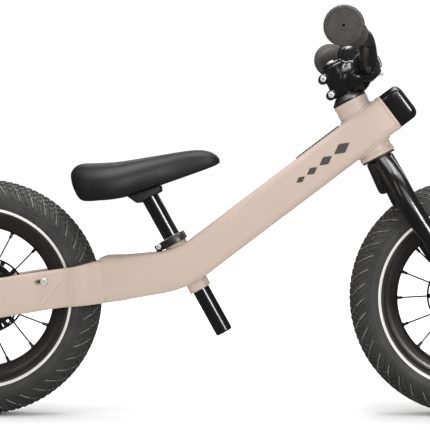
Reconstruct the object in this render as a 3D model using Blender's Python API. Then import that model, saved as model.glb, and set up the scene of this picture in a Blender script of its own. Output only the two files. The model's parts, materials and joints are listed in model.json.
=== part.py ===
"""Balance bike with two 12 inch wheels: frame, fork, stem, riser bar, saddle on a sliding post.

Axes: +X towards the front wheel, +Y to the rider's left, +Z up, in metres.
The origin lies on the ground, midway between the two axles.
"""
import math

import bmesh
import bpy
from mathutils import Matrix, Vector

MM = 0.001
GAP = 0.3 * MM               # clearance between pieces that touch

# wheels
WHEEL_DIAMETER = 303 * MM
WHEELBASE = 621 * MM
TYRE_WIDTH = 50 * MM
TYRE_WALL = 4 * MM
TUBE_SLACK = 1.7 * MM        # between the inner tube and the tyre's lining, where they are closest
RIM_WIDTH = 32 * MM
RIM_WALL = 2.2 * MM
RIM_FLANGE_HEIGHT = 5.5 * MM
RIM_DEPTH = 17.5 * MM
SPOKE_COUNT = 16
SPOKE_DIAMETER = 2.2 * MM
SPOKE_TIP_ASIDE = 3 * MM      # at the rim, off the wheel's middle plane
FRONT_SPOKE_PHASE = math.radians(1.2)
REAR_SPOKE_PHASE = math.radians(-1.6)
FLANGE_DIAMETER = 98 * MM
FLANGE_THICKNESS = 3 * MM
FLANGE_SPACING = 44 * MM
BARREL_DIAMETER = 33 * MM
HUB_LENGTH = 62 * MM
AXLE_DIAMETER = 10 * MM
AXLE_HEAD_DIAMETER = 17 * MM
AXLE_HEAD_HEIGHT = 5 * MM
BEARING_DIAMETER = 26 * MM
BEARING_WIDTH = 8 * MM
RUNNING_GAP = 0.5 * MM
VALVE_DIAMETER = 8 * MM
VALVE_BORE = 3 * MM
VALVE_PAST_RIM = 9 * MM      # its mouth, towards the axle

# steering
STEER_TILT = math.radians(27.0)
FORK_RAKE = 19.5 * MM
HEAD_ABOVE_AXLE = 212.7 * MM
HEAD_TUBE_LENGTH = 80 * MM
HEAD_TUBE_DIAMETER = 44.5 * MM
HEAD_COLLAR_EXTRA = 1 * MM
HEAD_COLLAR_HEIGHT = 5.5 * MM
HEAD_TOP_COLLAR_HEIGHT = 5 * MM
HEAD_BORE = 34 * MM
BEARING_SEAT = 41 * MM
BEARING_SEAT_DEPTH = 7.5 * MM
STEERER_DIAMETER = 28.6 * MM
STEERER_WALL = 2.5 * MM
CROWN_DIAMETER = 37 * MM
CROWN_FOOT_DIAMETER = 41 * MM
CROWN_DEPTH = 47 * MM
LEG_DIAMETER = 28 * MM
LEG_TIP_DIAMETER = 25 * MM
LEG_WALL = 2 * MM
DROPOUT_THICKNESS = 6 * MM
DROPOUT_DIAMETER = 30 * MM
DROPOUT_INSERT = 8 * MM      # how far its tongue goes into the leg
FORK_SPAN = 90 * MM          # between the dropouts' inner faces

# stem and bar
STEM_REACH = 38.7 * MM
STEM_BAR_HEIGHT = 29.4 * MM
STEM_BOTTOM = 10.5 * MM
STEM_TOP = 51 * MM
STEM_CLAMP_DIAMETER = 34 * MM
BAR_CLAMP_DIAMETER = 41 * MM
BAR_CLAMP_WIDTH = 42 * MM
STEM_BOLT_BACK = 18.7 * MM
STEM_BOLT_SPACING = 22.8 * MM
STEM_BOLT_DROP = 1.9 * MM    # of the pair, below the clamp's middle
STEM_BOLT_DIAMETER = 5 * MM
STEM_BOLT_HEAD = 7.6 * MM
STEM_EAR_DIAMETER = 12.4 * MM
STEM_EAR_WIDTH = 26 * MM
BAR_DIAMETER = 22.2 * MM
BAR_WALL = 2 * MM
BAR_RISE = 28.3 * MM
BAR_WIDTH = 430 * MM
BAR_CENTRE_WIDTH = 84 * MM
BAR_KNEE_BACK = 7.4 * MM
BAR_GRIP_BACK = 20.4 * MM    # at the grip's inner end, behind the bar's middle
BAR_SWEEP = math.radians(12)
GRIP_LENGTH = 90 * MM
GRIP_DIAMETER = 29 * MM
GRIP_END_DIAMETER = 47 * MM
GRIP_END_THICKNESS = 8 * MM
GRIP_COLLAR_DIAMETER = 31 * MM

# frame
BEAM_WIDTH = 52 * MM
BEAM_DEPTH_FRONT = 48.7 * MM
BEAM_DEPTH_REAR = 58 * MM
BEAM_WALL = 2.4 * MM
BEAM_CORNER = 10 * MM
BEAM_TILT_FRONT = math.radians(37.1)
BEAM_TILT_REAR = math.radians(7.4)
BEAM_BEND_RADIUS = 115 * MM
BEAM_ON_HEAD = 37 * MM       # along the head tube, from its lower end
BEAM_PAST_HEAD = 38.5 * MM
BEAM_ABOVE_AXLE = 21.9 * MM
TYRE_TO_YOKE = 2.5 * MM
YOKE_LENGTH = 10.5 * MM
YOKE_EXTRA = 2 * MM
STAY_THICKNESS = 10 * MM
STAY_WALL = 2 * MM
STAY_CORNER = 4 * MM
STAY_SPAN = 90 * MM          # between the stays' inner faces at the axle
STAY_TYRE_GAP = 3.5 * MM
STAY_SCREW_AHEAD = 84 * MM   # of the rear axle
STAY_SCREW_HEIGHT = 22 * MM
STAY_SLOT_LENGTH = 14 * MM
STAY_SLOT_HEIGHT = 6.5 * MM
STAY_SCREW_DIAMETER = 8 * MM
CAP_LENGTH = 29 * MM
CAP_CORNER = 8 * MM
CAP_WALL = 3 * MM
CAP_PLUG = 12 * MM
STRIP_LENGTH = 69 * MM
STRIP_WIDTH = 26 * MM
STRIP_THICKNESS = 1.4 * MM
STRIP_FROM_HEAD = 23.5 * MM

# seat
SEAT_TILT = math.radians(29.0)
SEAT_AXIS_FORWARD = 9.3 * MM
SEAT_TUBE_DIAMETER = 29 * MM
SEAT_TUBE_BELOW = 33.9 * MM
SEAT_TUBE_ABOVE = 42.5 * MM
SEAT_SLIDING_GAP = 0.1 * MM
POST_DIAMETER = 22.2 * MM
POST_WALL = 1.8 * MM
POST_BELOW = 95.3 * MM
POST_ABOVE = 100.7 * MM      # up to the saddle bracket's lower face
POST_IN_BRACKET = 8 * MM
COLLAR_DIAMETER = 35 * MM  
COLLAR_HEIGHT = 10.5 * MM
COLLAR_EAR_REACH = 25.6 * MM
COLLAR_EAR_WIDTH = 15 * MM
COLLAR_SLIT = 2 * MM
COLLAR_BOLT_BACK = 20.4 * MM
COLLAR_BOLT_DIAMETER = 5 * MM
COLLAR_BOLT_HEAD = 6.6 * MM
COLLAR_BOLT_BELOW = 3.9 * MM # the collar's top
COLLAR_TO_BEAM = 0.6 * MM
BRACKET_WIDTH = 40 * MM
BRACKET_FRONT = 16.7 * MM
BRACKET_BACK = 17 * MM
SADDLE_BASE = 4 * MM
SADDLE_WIDTH = 124 * MM
SADDLE_LENGTH = 186 * MM

ROUND = 16                   # facets round a middling tube
WHEEL_FACETS = 32

wheel_radius = WHEEL_DIAMETER / 2
rear_axle = Vector((-WHEELBASE / 2, 0, wheel_radius))
front_axle = Vector((WHEELBASE / 2, 0, wheel_radius))
lateral = Vector((0, 1, 0))

steer_up = Vector((-math.sin(STEER_TILT), 0, math.cos(STEER_TILT)))
steer_forward = Vector((math.cos(STEER_TILT), 0, math.sin(STEER_TILT)))
head_low = front_axle - FORK_RAKE * steer_forward + HEAD_ABOVE_AXLE * steer_up
head_top = head_low + HEAD_TUBE_LENGTH * steer_up
bar_centre = head_top + STEM_REACH * steer_forward + STEM_BAR_HEIGHT * steer_up

beam_front = Vector((math.cos(BEAM_TILT_FRONT), 0, math.sin(BEAM_TILT_FRONT)))
beam_rear = Vector((math.cos(BEAM_TILT_REAR), 0, math.sin(BEAM_TILT_REAR)))
beam_at_head = head_low + BEAM_ON_HEAD * steer_up
beam_nose = beam_at_head + BEAM_PAST_HEAD * beam_front
yoke_back = Vector((rear_axle.x + wheel_radius + TYRE_TO_YOKE, 0, wheel_radius + BEAM_ABOVE_AXLE))
beam_tail = yoke_back + (YOKE_LENGTH + GAP) * beam_rear


def crossing(point_a, along_a, point_b, along_b):
    """Where two lines in the bike's middle plane cross."""
    offset = point_b - point_a
    turn = along_a.x * along_b.z - along_a.z * along_b.x
    return point_a + along_a * ((offset.x * along_b.z - offset.z * along_b.x) / turn)


beam_elbow = crossing(beam_tail, beam_rear, beam_nose, beam_front)

seat_up = Vector((-math.sin(SEAT_TILT), 0, math.cos(SEAT_TILT)))
seat_forward = Vector((math.cos(SEAT_TILT), 0, math.sin(SEAT_TILT)))
seat_centre = beam_elbow + SEAT_AXIS_FORWARD * seat_forward
post_head = seat_centre + POST_ABOVE * seat_up


# ---------------------------------------------------------------- tools

def material(name, colour, roughness, metallic=0.0):
    surface = bpy.data.materials.new(name)
    surface.use_nodes = True
    shader = surface.node_tree.nodes["Principled BSDF"]
    shader.inputs["Base Color"].default_value = (*colour, 1)
    shader.inputs["Roughness"].default_value = roughness
    shader.inputs["Metallic"].default_value = metallic
    return surface


def pivot(name, place):
    """An empty on a joint's axis, which carries the pieces that move with it."""
    empty = bpy.data.objects.new(name, None)
    empty.location = place
    empty.empty_display_size = 0.03
    bpy.context.scene.collection.objects.link(empty)
    return empty


def make(name, shape, surface, parent):
    """Turn a bmesh in world coordinates into an object under its parent's pivot."""
    shape.transform(Matrix.Translation(-parent.location))
    bmesh.ops.recalc_face_normals(shape, faces=shape.faces)
    if shape.calc_volume(signed=True) < 0:
        bmesh.ops.reverse_faces(shape, faces=shape.faces)
    mesh = bpy.data.meshes.new(name)
    shape.to_mesh(mesh)
    shape.free()
    mesh.shade_smooth()
    mesh.set_sharp_from_angle(angle=math.radians(35))
    mesh.materials.append(surface)
    thing = bpy.data.objects.new(name, mesh)
    thing.parent = parent
    bpy.context.scene.collection.objects.link(thing)
    return thing


def combine(thing, shape, operation="DIFFERENCE"):
    """Cut a shape out of a piece, or join one to it, with a live Boolean."""
    tool = make(f"{thing.name}_{operation.lower()}_{len(thing.modifiers)}", shape,
                thing.data.materials[0], thing.parent)
    tool.display_type = "WIRE"
    tool.hide_render = True
    step = thing.modifiers.new(f"{operation.lower()} {len(thing.modifiers)}", "BOOLEAN")
    step.operation = operation
    step.object = tool
    return thing


def axis_frame(origin, along, across):
    """Matrix that lays local Z along one direction and local X across it."""
    side = along.cross(across)
    frame = Matrix((across, side, along)).transposed().to_4x4()
    return Matrix.Translation(origin) @ frame


def turned(profile, facets, frame, ring=True):
    """Spin a profile of (radius, height) points about local Z."""
    shape = bmesh.new()
    points = [shape.verts.new((radius, 0, height)) for radius, height in profile]
    edges = [shape.edges.new(pair) for pair in zip(points, points[1:])]
    if ring:
        edges.append(shape.edges.new((points[-1], points[0])))
    bmesh.ops.spin(shape, geom=points + edges, axis=(0, 0, 1), cent=(0, 0, 0),
                   angle=2 * math.pi, steps=facets, use_merge=True)
    bmesh.ops.remove_doubles(shape, verts=shape.verts, dist=1e-6)
    shape.transform(frame)
    return shape


def rod(start, end, radius, facets=ROUND):
    """A plain round bar between two points."""
    shape = bmesh.new()
    run = end - start
    bmesh.ops.create_cone(shape, cap_ends=True, segments=facets, radius1=radius,
                          radius2=radius, depth=run.length)
    turn = run.to_track_quat("Z", "Y").to_matrix().to_4x4()
    shape.transform(Matrix.Translation((start + end) / 2) @ turn)
    return shape


def ring_of(outer, inner, start, end, facets=ROUND):
    """A plain tube between two points."""
    run = end - start
    across = run.to_track_quat("Z", "Y") @ Vector((1, 0, 0))
    frame = axis_frame(start, run.normalized(), across)
    profile = [(inner, 0), (outer, 0), (outer, run.length), (inner, run.length)]
    return turned(profile, facets, frame)


def block(frame, low, high, corner=0, segments=2):
    """A box between two corners of a local frame, its edges rounded if a corner is given."""
    shape = bmesh.new()
    bmesh.ops.create_cube(shape, size=1)
    span = Vector(high) - Vector(low)
    shape.transform(Matrix.Diagonal((*span, 1)))
    if corner:
        bmesh.ops.bevel(shape, geom=shape.edges[:], offset=corner, segments=segments,
                        affect="EDGES", profile=0.5, material=-1)
    shape.transform(frame @ Matrix.Translation((Vector(low) + Vector(high)) / 2))
    return shape


def add_loop(shape, points):
    corners = [shape.verts.new(point) for point in points]
    return [shape.edges.new((corners[i - 1], corners[i])) for i in range(len(corners))]


def loft(sections):
    """Skin closed sections into a solid."""
    shape = bmesh.new()
    loops = [add_loop(shape, section) for section in sections]
    for near, far in zip(loops, loops[1:]):
        bmesh.ops.bridge_loops(shape, edges=near + far)
    bmesh.ops.contextual_create(shape, geom=loops[0])
    bmesh.ops.contextual_create(shape, geom=loops[-1])
    return shape


def rounded_section(centre, across, upward, width, depth, corner, steps=2):
    """Corners of a rounded rectangle as a list of points."""
    points = []
    for quarter, (side, rise) in enumerate(((1, 1), (-1, 1), (-1, -1), (1, -1))):
        middle = centre + across * side * (width / 2 - corner) + upward * rise * (depth / 2 - corner)
        for step in range(steps + 1):
            angle = math.radians(90 * quarter + 90 * step / steps)
            points.append(middle + corner * (across * math.cos(angle) + upward * math.sin(angle)))
    return points


def round_section(centre, tangent, radius, facets=12):
    side = tangent.cross(Vector((1, 0, 0))).normalized()
    rise = tangent.cross(side)
    return [centre + radius * (side * math.cos(a) + rise * math.sin(a))
            for a in (2 * math.pi * i / facets for i in range(facets))]


def smooth_path(points, steps):
    """Points on a Catmull-Rom curve through the given ones."""
    padded = [2 * points[0] - points[1], *points, 2 * points[-1] - points[-2]]
    path = []
    for a, b, c, d in zip(padded, padded[1:], padded[2:], padded[3:]):
        for step in range(steps):
            t = step / steps
            path.append(0.5 * (2 * b + (c - a) * t + (2 * a - 5 * b + 4 * c - d) * t ** 2
                               + (3 * b - a - 3 * c + d) * t ** 3))
    return path + [points[-1]]


def bar_along(path, radii, facets=10):
    """A round bar along a path."""
    tangents = [(path[min(i + 1, len(path) - 1)] - path[max(i - 1, 0)]).normalized()
                for i in range(len(path))]
    return loft([round_section(p, t, r, facets) for p, t, r in zip(path, tangents, radii)])


def hollow(thing, path, radii, wall):
    """Bore a round bar right through, along the path it was made on."""
    bores = [radius - wall for radius in radii]
    first = path[0] + (path[0] - path[1]).normalized() * MM
    last = path[-1] + (path[-1] - path[-2]).normalized() * MM
    return combine(thing, bar_along([first, *path[1:-1], last], bores))


# ---------------------------------------------------------------- wheels

section_radius = TYRE_WIDTH / 2
section_middle = wheel_radius - section_radius
bead_radius = section_middle - section_radius
rim_edge = bead_radius + RIM_FLANGE_HEIGHT
rim_inside = rim_edge - RIM_DEPTH


def on_tyre(angle, radius):
    a = math.radians(angle)
    return (section_middle + radius * math.cos(a), radius * math.sin(a))


def tyre_lining():
    """The tyre's beads and its inside, from one bead's heel round to the other's."""
    shoulder = RIM_WIDTH / 2 - RIM_WALL - GAP
    foot = bead_radius + GAP + 1.5 * MM
    crest = rim_edge + MM
    bead_right = [(crest, shoulder), (foot, shoulder), (foot, shoulder - TYRE_WALL)]
    lining = [on_tyre(angle, section_radius - TYRE_WALL) for angle in (80, 30, -30, -80)]
    return bead_right + lining + [(r, -y) for r, y in reversed(bead_right)]


def lining_distance():
    """From the middle of the tyre's section to the nearest place on its inside."""
    inside = tyre_lining()[2:-2]
    nearest = section_radius
    for (r1, y1), (r2, y2) in zip(inside, inside[1:]):
        run = math.hypot(r2 - r1, y2 - y1)
        nearest = min(nearest, abs((r2 - r1) * y1 - (r1 - section_middle) * (y2 - y1)) / run)
    return nearest


def tyre(name, axle, parent):
    outside = [on_tyre(angle, section_radius) for angle in (-134, -88, -40, 0, 40, 88, 134)]
    frame = axis_frame(axle, lateral, Vector((1, 0, 0)))
    profile = outside + tyre_lining()
    return make(name, turned(profile, WHEEL_FACETS, frame), rubber, parent)


def valve_line(axle, angle):
    """Unit vector from the axle to the valve, and the valve's mouth."""
    out = Vector((math.cos(angle), 0, math.sin(angle)))
    return out, axle + out * (rim_inside - VALVE_PAST_RIM)


def rim(name, axle, parent, valve_angle):
    half = RIM_WIDTH / 2
    well = rim_edge - RIM_DEPTH * 0.6
    profile = [(rim_edge, half), (rim_edge, half - RIM_WALL), (bead_radius, half - RIM_WALL),
               (well, half * 0.4), (well, -half * 0.4), (bead_radius, RIM_WALL - half),
               (rim_edge, RIM_WALL - half), (rim_edge, -half), (well, -half),
               (rim_inside, -half / 2), (rim_inside, half / 2), (well, half)]
    frame = axis_frame(axle, lateral, Vector((1, 0, 0)))
    ring = make(name, turned(profile, WHEEL_FACETS, frame), rim_black, parent)
    out, _ = valve_line(axle, valve_angle)
    hole = rod(axle + out * (rim_inside - 8 * MM), axle + out * (rim_edge + 8 * MM),
               VALVE_DIAMETER / 2 + GAP, 8)
    return combine(ring, hole)


def inner_tube(name, axle, parent, valve_angle):
    """A hollow ring of thin rubber with a valve whose bore opens to the outside."""
    outer = lining_distance() - TUBE_SLACK
    facets = 6
    frame = axis_frame(axle, lateral, Vector((1, 0, 0)))

    def circle(radius):
        angles = (2 * math.pi * i / facets for i in range(facets))
        return [(section_middle + radius * math.cos(a), radius * math.sin(a)) for a in angles]

    skin_shape = turned(circle(outer), 16, frame)
    tube = make(name, skin_shape, inner_rubber, parent)
    out, mouth = valve_line(axle, valve_angle)
    root = axle + out * (section_middle - outer * 0.55)
    combine(tube, rod(mouth, root, VALVE_DIAMETER / 2, 8), "UNION")
    combine(tube, turned(circle(outer - 1.2 * MM), 16, frame))
    return combine(tube, rod(mouth - out * MM, axle + out * section_middle, VALVE_BORE / 2, 6))


def hub(name, axle, parent, phase):
    """Hub shell with two large flanges, and the spokes laced into it."""
    frame = axis_frame(axle, lateral, Vector((1, 0, 0)))
    flange = FLANGE_DIAMETER / 2
    barrel = BARREL_DIAMETER / 2
    seat = BEARING_DIAMETER / 2 + GAP
    bore = AXLE_DIAMETER / 2 + RUNNING_GAP + 2 * MM
    near, far = FLANGE_SPACING / 2 - FLANGE_THICKNESS / 2, FLANGE_SPACING / 2 + FLANGE_THICKNESS / 2
    end = HUB_LENGTH / 2
    half = [(bore, end - BEARING_WIDTH - GAP), (seat, end - BEARING_WIDTH - GAP), (seat, end),
            (barrel, end), (barrel, far), (flange, far), (flange, near), (barrel, near)]
    profile = half + [(r, -h) for r, h in reversed(half)]
    shell = make(name, turned(profile, ROUND, frame), hub_black, parent)
    for number in range(SPOKE_COUNT):
        angle = phase + 2 * math.pi * number / SPOKE_COUNT
        out = Vector((math.cos(angle), 0, math.sin(angle)))
        side = (-1 if number % 2 else 1) * lateral
        foot = axle + out * (flange - 5 * MM) + side * FLANGE_SPACING / 2
        tip = axle + out * (rim_inside * math.cos(math.pi / WHEEL_FACETS) - GAP) + side * SPOKE_TIP_ASIDE
        # a leaning spoke's square end reaches further out than its middle line
        lean = abs((tip - foot).normalized().y)
        shape = rod(foot, tip - out * lean * SPOKE_DIAMETER / 4, SPOKE_DIAMETER / 2, 4)
        combine(shell, shape, "UNION")
    return shell


def wheel(prefix, axle, parent, phase, valve_angle):
    tyre(f"{prefix}_tyre", axle, parent)
    inner_tube(f"{prefix}_inner_tube", axle, parent, valve_angle)
    rim(f"{prefix}_rim", axle, parent, valve_angle)
    hub(f"{prefix}_hub_and_spokes", axle, parent, phase)
    for side, word in ((-1, "right"), (1, "left")):
        outer = axle + lateral * side * HUB_LENGTH / 2
        inner = outer - lateral * side * BEARING_WIDTH
        ring = ring_of(BEARING_DIAMETER / 2, AXLE_DIAMETER / 2 + RUNNING_GAP, inner, outer)
        make(f"{prefix}_bearing_{word}", ring, steel, parent)


def axle_set(prefix, axle, parent, outer_face):
    """Axle with a shoulder each side of the hub, and a bolt each side of the dropouts."""
    thread = AXLE_DIAMETER / 2 * 0.6
    span = (STAY_SPAN if prefix == "rear" else FORK_SPAN) / 2 - GAP
    shoulder = HUB_LENGTH / 2 + RUNNING_GAP
    half = [(0, span), (AXLE_DIAMETER / 2 + 3 * MM, span), (AXLE_DIAMETER / 2 + 3 * MM, shoulder),
            (AXLE_DIAMETER / 2, shoulder)]
    profile = half + [(r, -h) for r, h in reversed(half)]
    frame = axis_frame(axle, lateral, Vector((1, 0, 0)))
    shaft = make(f"{prefix}_axle", turned(profile, ROUND, frame, ring=False), steel, parent)
    depth = 12 * MM
    bore = rod(axle - lateral * (span + MM), axle - lateral * (span - depth - MM), thread + GAP, 12)
    combine(shaft, bore)
    bore = rod(axle + lateral * (span - depth - MM), axle + lateral * (span + MM), thread + GAP, 12)
    combine(shaft, bore)
    head = AXLE_HEAD_DIAMETER / 2
    for side, word in ((-1, "right"), (1, "left")):
        frame = axis_frame(axle, lateral * side, Vector((1, 0, 0)))
        seat = outer_face + GAP
        top = seat + AXLE_HEAD_HEIGHT
        profile = [(0, span - depth), (thread, span - depth), (thread, seat), (head, seat),
                   (head, top - MM), (head - MM, top), (0, top)]
        bolt = make(f"{prefix}_axle_bolt_{word}", turned(profile, 12, frame, ring=False), bolt_black, parent)
        socket_end = axle + lateral * side * (top + MM)
        combine(bolt, rod(socket_end, socket_end - lateral * side * 4 * MM, 3 * MM, 6))


# ---------------------------------------------------------------- frame

def beam_depth_at(share):
    return BEAM_DEPTH_REAR + (BEAM_DEPTH_FRONT - BEAM_DEPTH_REAR) * min(1, share)


def beam_shape(grown, longer=0.0):
    """The beam's outline as a solid, grown or shrunk all round and lengthened at its ends."""
    turn = BEAM_TILT_FRONT - BEAM_TILT_REAR
    setback = BEAM_BEND_RADIUS * math.tan(turn / 2)
    bend_start = beam_elbow - setback * beam_rear
    bend_rise = Vector((-beam_rear.z, 0, beam_rear.x))
    bend_middle = bend_start + BEAM_BEND_RADIUS * bend_rise
    steps = 5
    stations = [(beam_tail - longer * beam_rear, BEAM_TILT_REAR, 0)]
    for step in range(steps + 1):
        tilt = BEAM_TILT_REAR + turn * step / steps
        down = Vector((math.sin(tilt), 0, -math.cos(tilt)))
        stations.append((bend_middle + BEAM_BEND_RADIUS * down, tilt, 0.5 + 0.4 * step / steps))
    stations.append((beam_nose + longer * beam_front, BEAM_TILT_FRONT, 1))
    sections = []
    for centre, tilt, share in stations:
        upward = Vector((-math.sin(tilt), 0, math.cos(tilt)))
        sections.append(rounded_section(centre, lateral, upward, BEAM_WIDTH + 2 * grown,
                                        beam_depth_at(share) + 2 * grown, BEAM_CORNER + grown))
    return loft(sections)


def main_beam(parent):
    """Box beam: low straight at the rear, one wide bend, long straight to the head tube."""
    beam = make("main_beam", beam_shape(0), frame_paint, parent)
    combine(beam, beam_shape(-BEAM_WALL, MM))
    frame = axis_frame(head_low, steer_up, lateral)
    beyond = HEAD_TUBE_LENGTH
    side = [(r + GAP, h) for r, h in head_tube_side(GAP)]
    side = [(0, -beyond), (side[0][0], -beyond), *side[1:-1], (side[-1][0], 2 * beyond), (0, 2 * beyond)]
    combine(beam, turned(side, 24, frame, ring=False))
    reach = SEAT_TUBE_BELOW + SEAT_TUBE_ABOVE
    combine(beam, rod(seat_centre - reach * seat_up, seat_centre + reach * seat_up,
                      SEAT_TUBE_DIAMETER / 2 + GAP))


def head_tube_side(clear=0.0):
    """The head tube's outline, bottom to top, its two collars lengthened by a clearance."""
    body = HEAD_TUBE_DIAMETER / 2
    lip = body + HEAD_COLLAR_EXTRA
    top_lip = body + HEAD_COLLAR_EXTRA / 2
    low_end = HEAD_COLLAR_HEIGHT + clear
    high_end = HEAD_TUBE_LENGTH - HEAD_TOP_COLLAR_HEIGHT - clear
    return [(lip, 0), (lip, low_end), (body, low_end), (body, high_end), (top_lip, high_end),
            (top_lip, HEAD_TUBE_LENGTH)]


def head_tube(parent):
    frame = axis_frame(head_low, steer_up, lateral)
    bore = HEAD_BORE / 2
    seat = BEARING_SEAT / 2
    top = HEAD_TUBE_LENGTH
    profile = [(bore, BEARING_SEAT_DEPTH), (seat, BEARING_SEAT_DEPTH), (seat, 0), *head_tube_side(),
               (seat, top), (seat, top - BEARING_SEAT_DEPTH), (bore, top - BEARING_SEAT_DEPTH)]
    make("head_tube", turned(profile, 20, frame), frame_paint, parent)
    inner = STEERER_DIAMETER / 2 + RUNNING_GAP
    outer = seat - GAP
    depth = BEARING_SEAT_DEPTH - 2 * GAP
    low = head_low + GAP * steer_up
    make("headset_bearing_lower", ring_of(outer, inner, low, low + depth * steer_up), steel, parent)
    high = head_top - GAP * steer_up
    make("headset_bearing_upper", ring_of(outer, inner, high - depth * steer_up, high), steel, parent)


def seat_tube(parent):
    low = seat_centre - SEAT_TUBE_BELOW * seat_up
    high = seat_centre + SEAT_TUBE_ABOVE * seat_up
    bore = POST_DIAMETER / 2 + SEAT_SLIDING_GAP
    tube = make("seat_tube", ring_of(SEAT_TUBE_DIAMETER / 2, bore, low, high), frame_paint, parent)
    frame = axis_frame(high, seat_up, seat_forward)
    slit = block(frame, (-SEAT_TUBE_DIAMETER, -COLLAR_SLIT / 2, -COLLAR_HEIGHT * 1.2),
                 (-POST_DIAMETER * 0.3, COLLAR_SLIT / 2, MM))
    combine(tube, slit)


def seat_collar(parent):
    """Split clamp round the top of the seat tube, its two ears and bolt behind the post."""
    high = seat_centre + (SEAT_TUBE_ABOVE + 1.2 * MM) * seat_up
    frame = axis_frame(high, seat_up, seat_forward)
    bore = SEAT_TUBE_DIAMETER / 2 + GAP
    post = POST_DIAMETER / 2 + GAP
    lip = MM
    profile = [(bore, -COLLAR_HEIGHT), (COLLAR_DIAMETER / 2, -COLLAR_HEIGHT), (COLLAR_DIAMETER / 2, 0),
               (post, 0), (post, -lip + GAP), (bore, -lip + GAP)]
    ring = make("seat_collar", turned(profile, ROUND, frame), satin_black, parent)
    ears = block(frame, (-COLLAR_EAR_REACH, -COLLAR_EAR_WIDTH / 2, -COLLAR_HEIGHT + 2 * MM),
                 (-bore - MM, COLLAR_EAR_WIDTH / 2, -0.5 * MM))
    combine(ring, ears, "UNION")
    combine(ring, block(frame, (-COLLAR_EAR_REACH - MM, -COLLAR_SLIT / 2, -COLLAR_HEIGHT - MM),
                        (-post * 0.6, COLLAR_SLIT / 2, MM)))
    combine(ring, beam_shape(COLLAR_TO_BEAM))
    middle = high - COLLAR_BOLT_BACK * seat_forward - COLLAR_BOLT_BELOW * seat_up
    reach = COLLAR_EAR_WIDTH / 2
    thread = COLLAR_BOLT_DIAMETER / 2
    combine(ring, rod(middle - lateral * (reach + MM), middle + lateral * (reach + MM), thread + GAP, 12))
    make_bolt("seat_collar_bolt", middle, lateral * -1, reach, thread, COLLAR_BOLT_HEAD / 2, parent)


def make_bolt(name, middle, towards_head, reach, thread, head, parent, tail=0.0, surface=None):
    """Socket screw through a clamp: its head lies towards one side, its end just past the other."""
    frame = axis_frame(middle, towards_head, steer_up if towards_head.y else lateral)
    seat = reach + GAP
    top = seat + 3 * MM
    start = -reach - tail
    profile = [(0, start), (thread, start), (thread, seat), (head, seat), (head, top - 0.8 * MM),
               (head - 0.8 * MM, top), (0, top)]
    bolt = make(name, turned(profile, 12, frame, ring=False), surface or bolt_silver, parent)
    end = middle + towards_head * (top + MM)
    return combine(bolt, rod(end - towards_head * 3 * MM, end, head * 0.45, 6))


def yoke(parent):
    """Short welded block behind the beam, wider than it, which the two stays start from."""
    upward = Vector((-beam_rear.z, 0, beam_rear.x))
    ends = []
    for place, extra in ((yoke_back, YOKE_EXTRA), (beam_tail - GAP * beam_rear, 0)):
        ends.append(rounded_section(place, lateral, upward, BEAM_WIDTH + 2 * extra,
                                    BEAM_DEPTH_REAR + extra, BEAM_CORNER))
    make("rear_yoke", loft(ends), frame_paint, parent)


def stay_inner_face(x):
    """Lateral place of a stay's inner face, clear of the tyre's section at that station."""
    forward = x - rear_axle.x
    depth = forward - section_middle
    if abs(depth) < section_radius:
        tyre_half = math.sqrt(section_radius ** 2 - depth ** 2)
    else:
        tyre_half = 0 if depth > 0 else section_radius
    near_axle = max(0.0, min(1.0, (section_middle - forward) / (section_middle * 0.45)))
    clear = tyre_half + STAY_TYRE_GAP * (1 + 0.6 * near_axle)
    return max(clear, BEAM_WIDTH / 2 - STAY_THICKNESS, near_axle * STAY_SPAN / 2)


# stay stations: share of the way back to the axle, height of the middle above the axle, half depth
stay_stations = ((0, 20.7, 27.7), (0.24, 14.3, 24.8), (0.385, 12.0, 24.8), (0.64, 6.8, 24.8),
                 (0.805, 2.1, 25.0), (1, 0, 25.0))


def stay_line(share):
    """Height of a stay's middle above the axle, and its half depth, at a share of its run."""
    for (a, rise_a, half_a), (b, rise_b, half_b) in zip(stay_stations, stay_stations[1:]):
        if share <= b:
            part = (share - a) / (b - a)
            return (rise_a + (rise_b - rise_a) * part) * MM, (half_a + (half_b - half_a) * part) * MM
    return 0.0, stay_stations[-1][2] * MM


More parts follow.
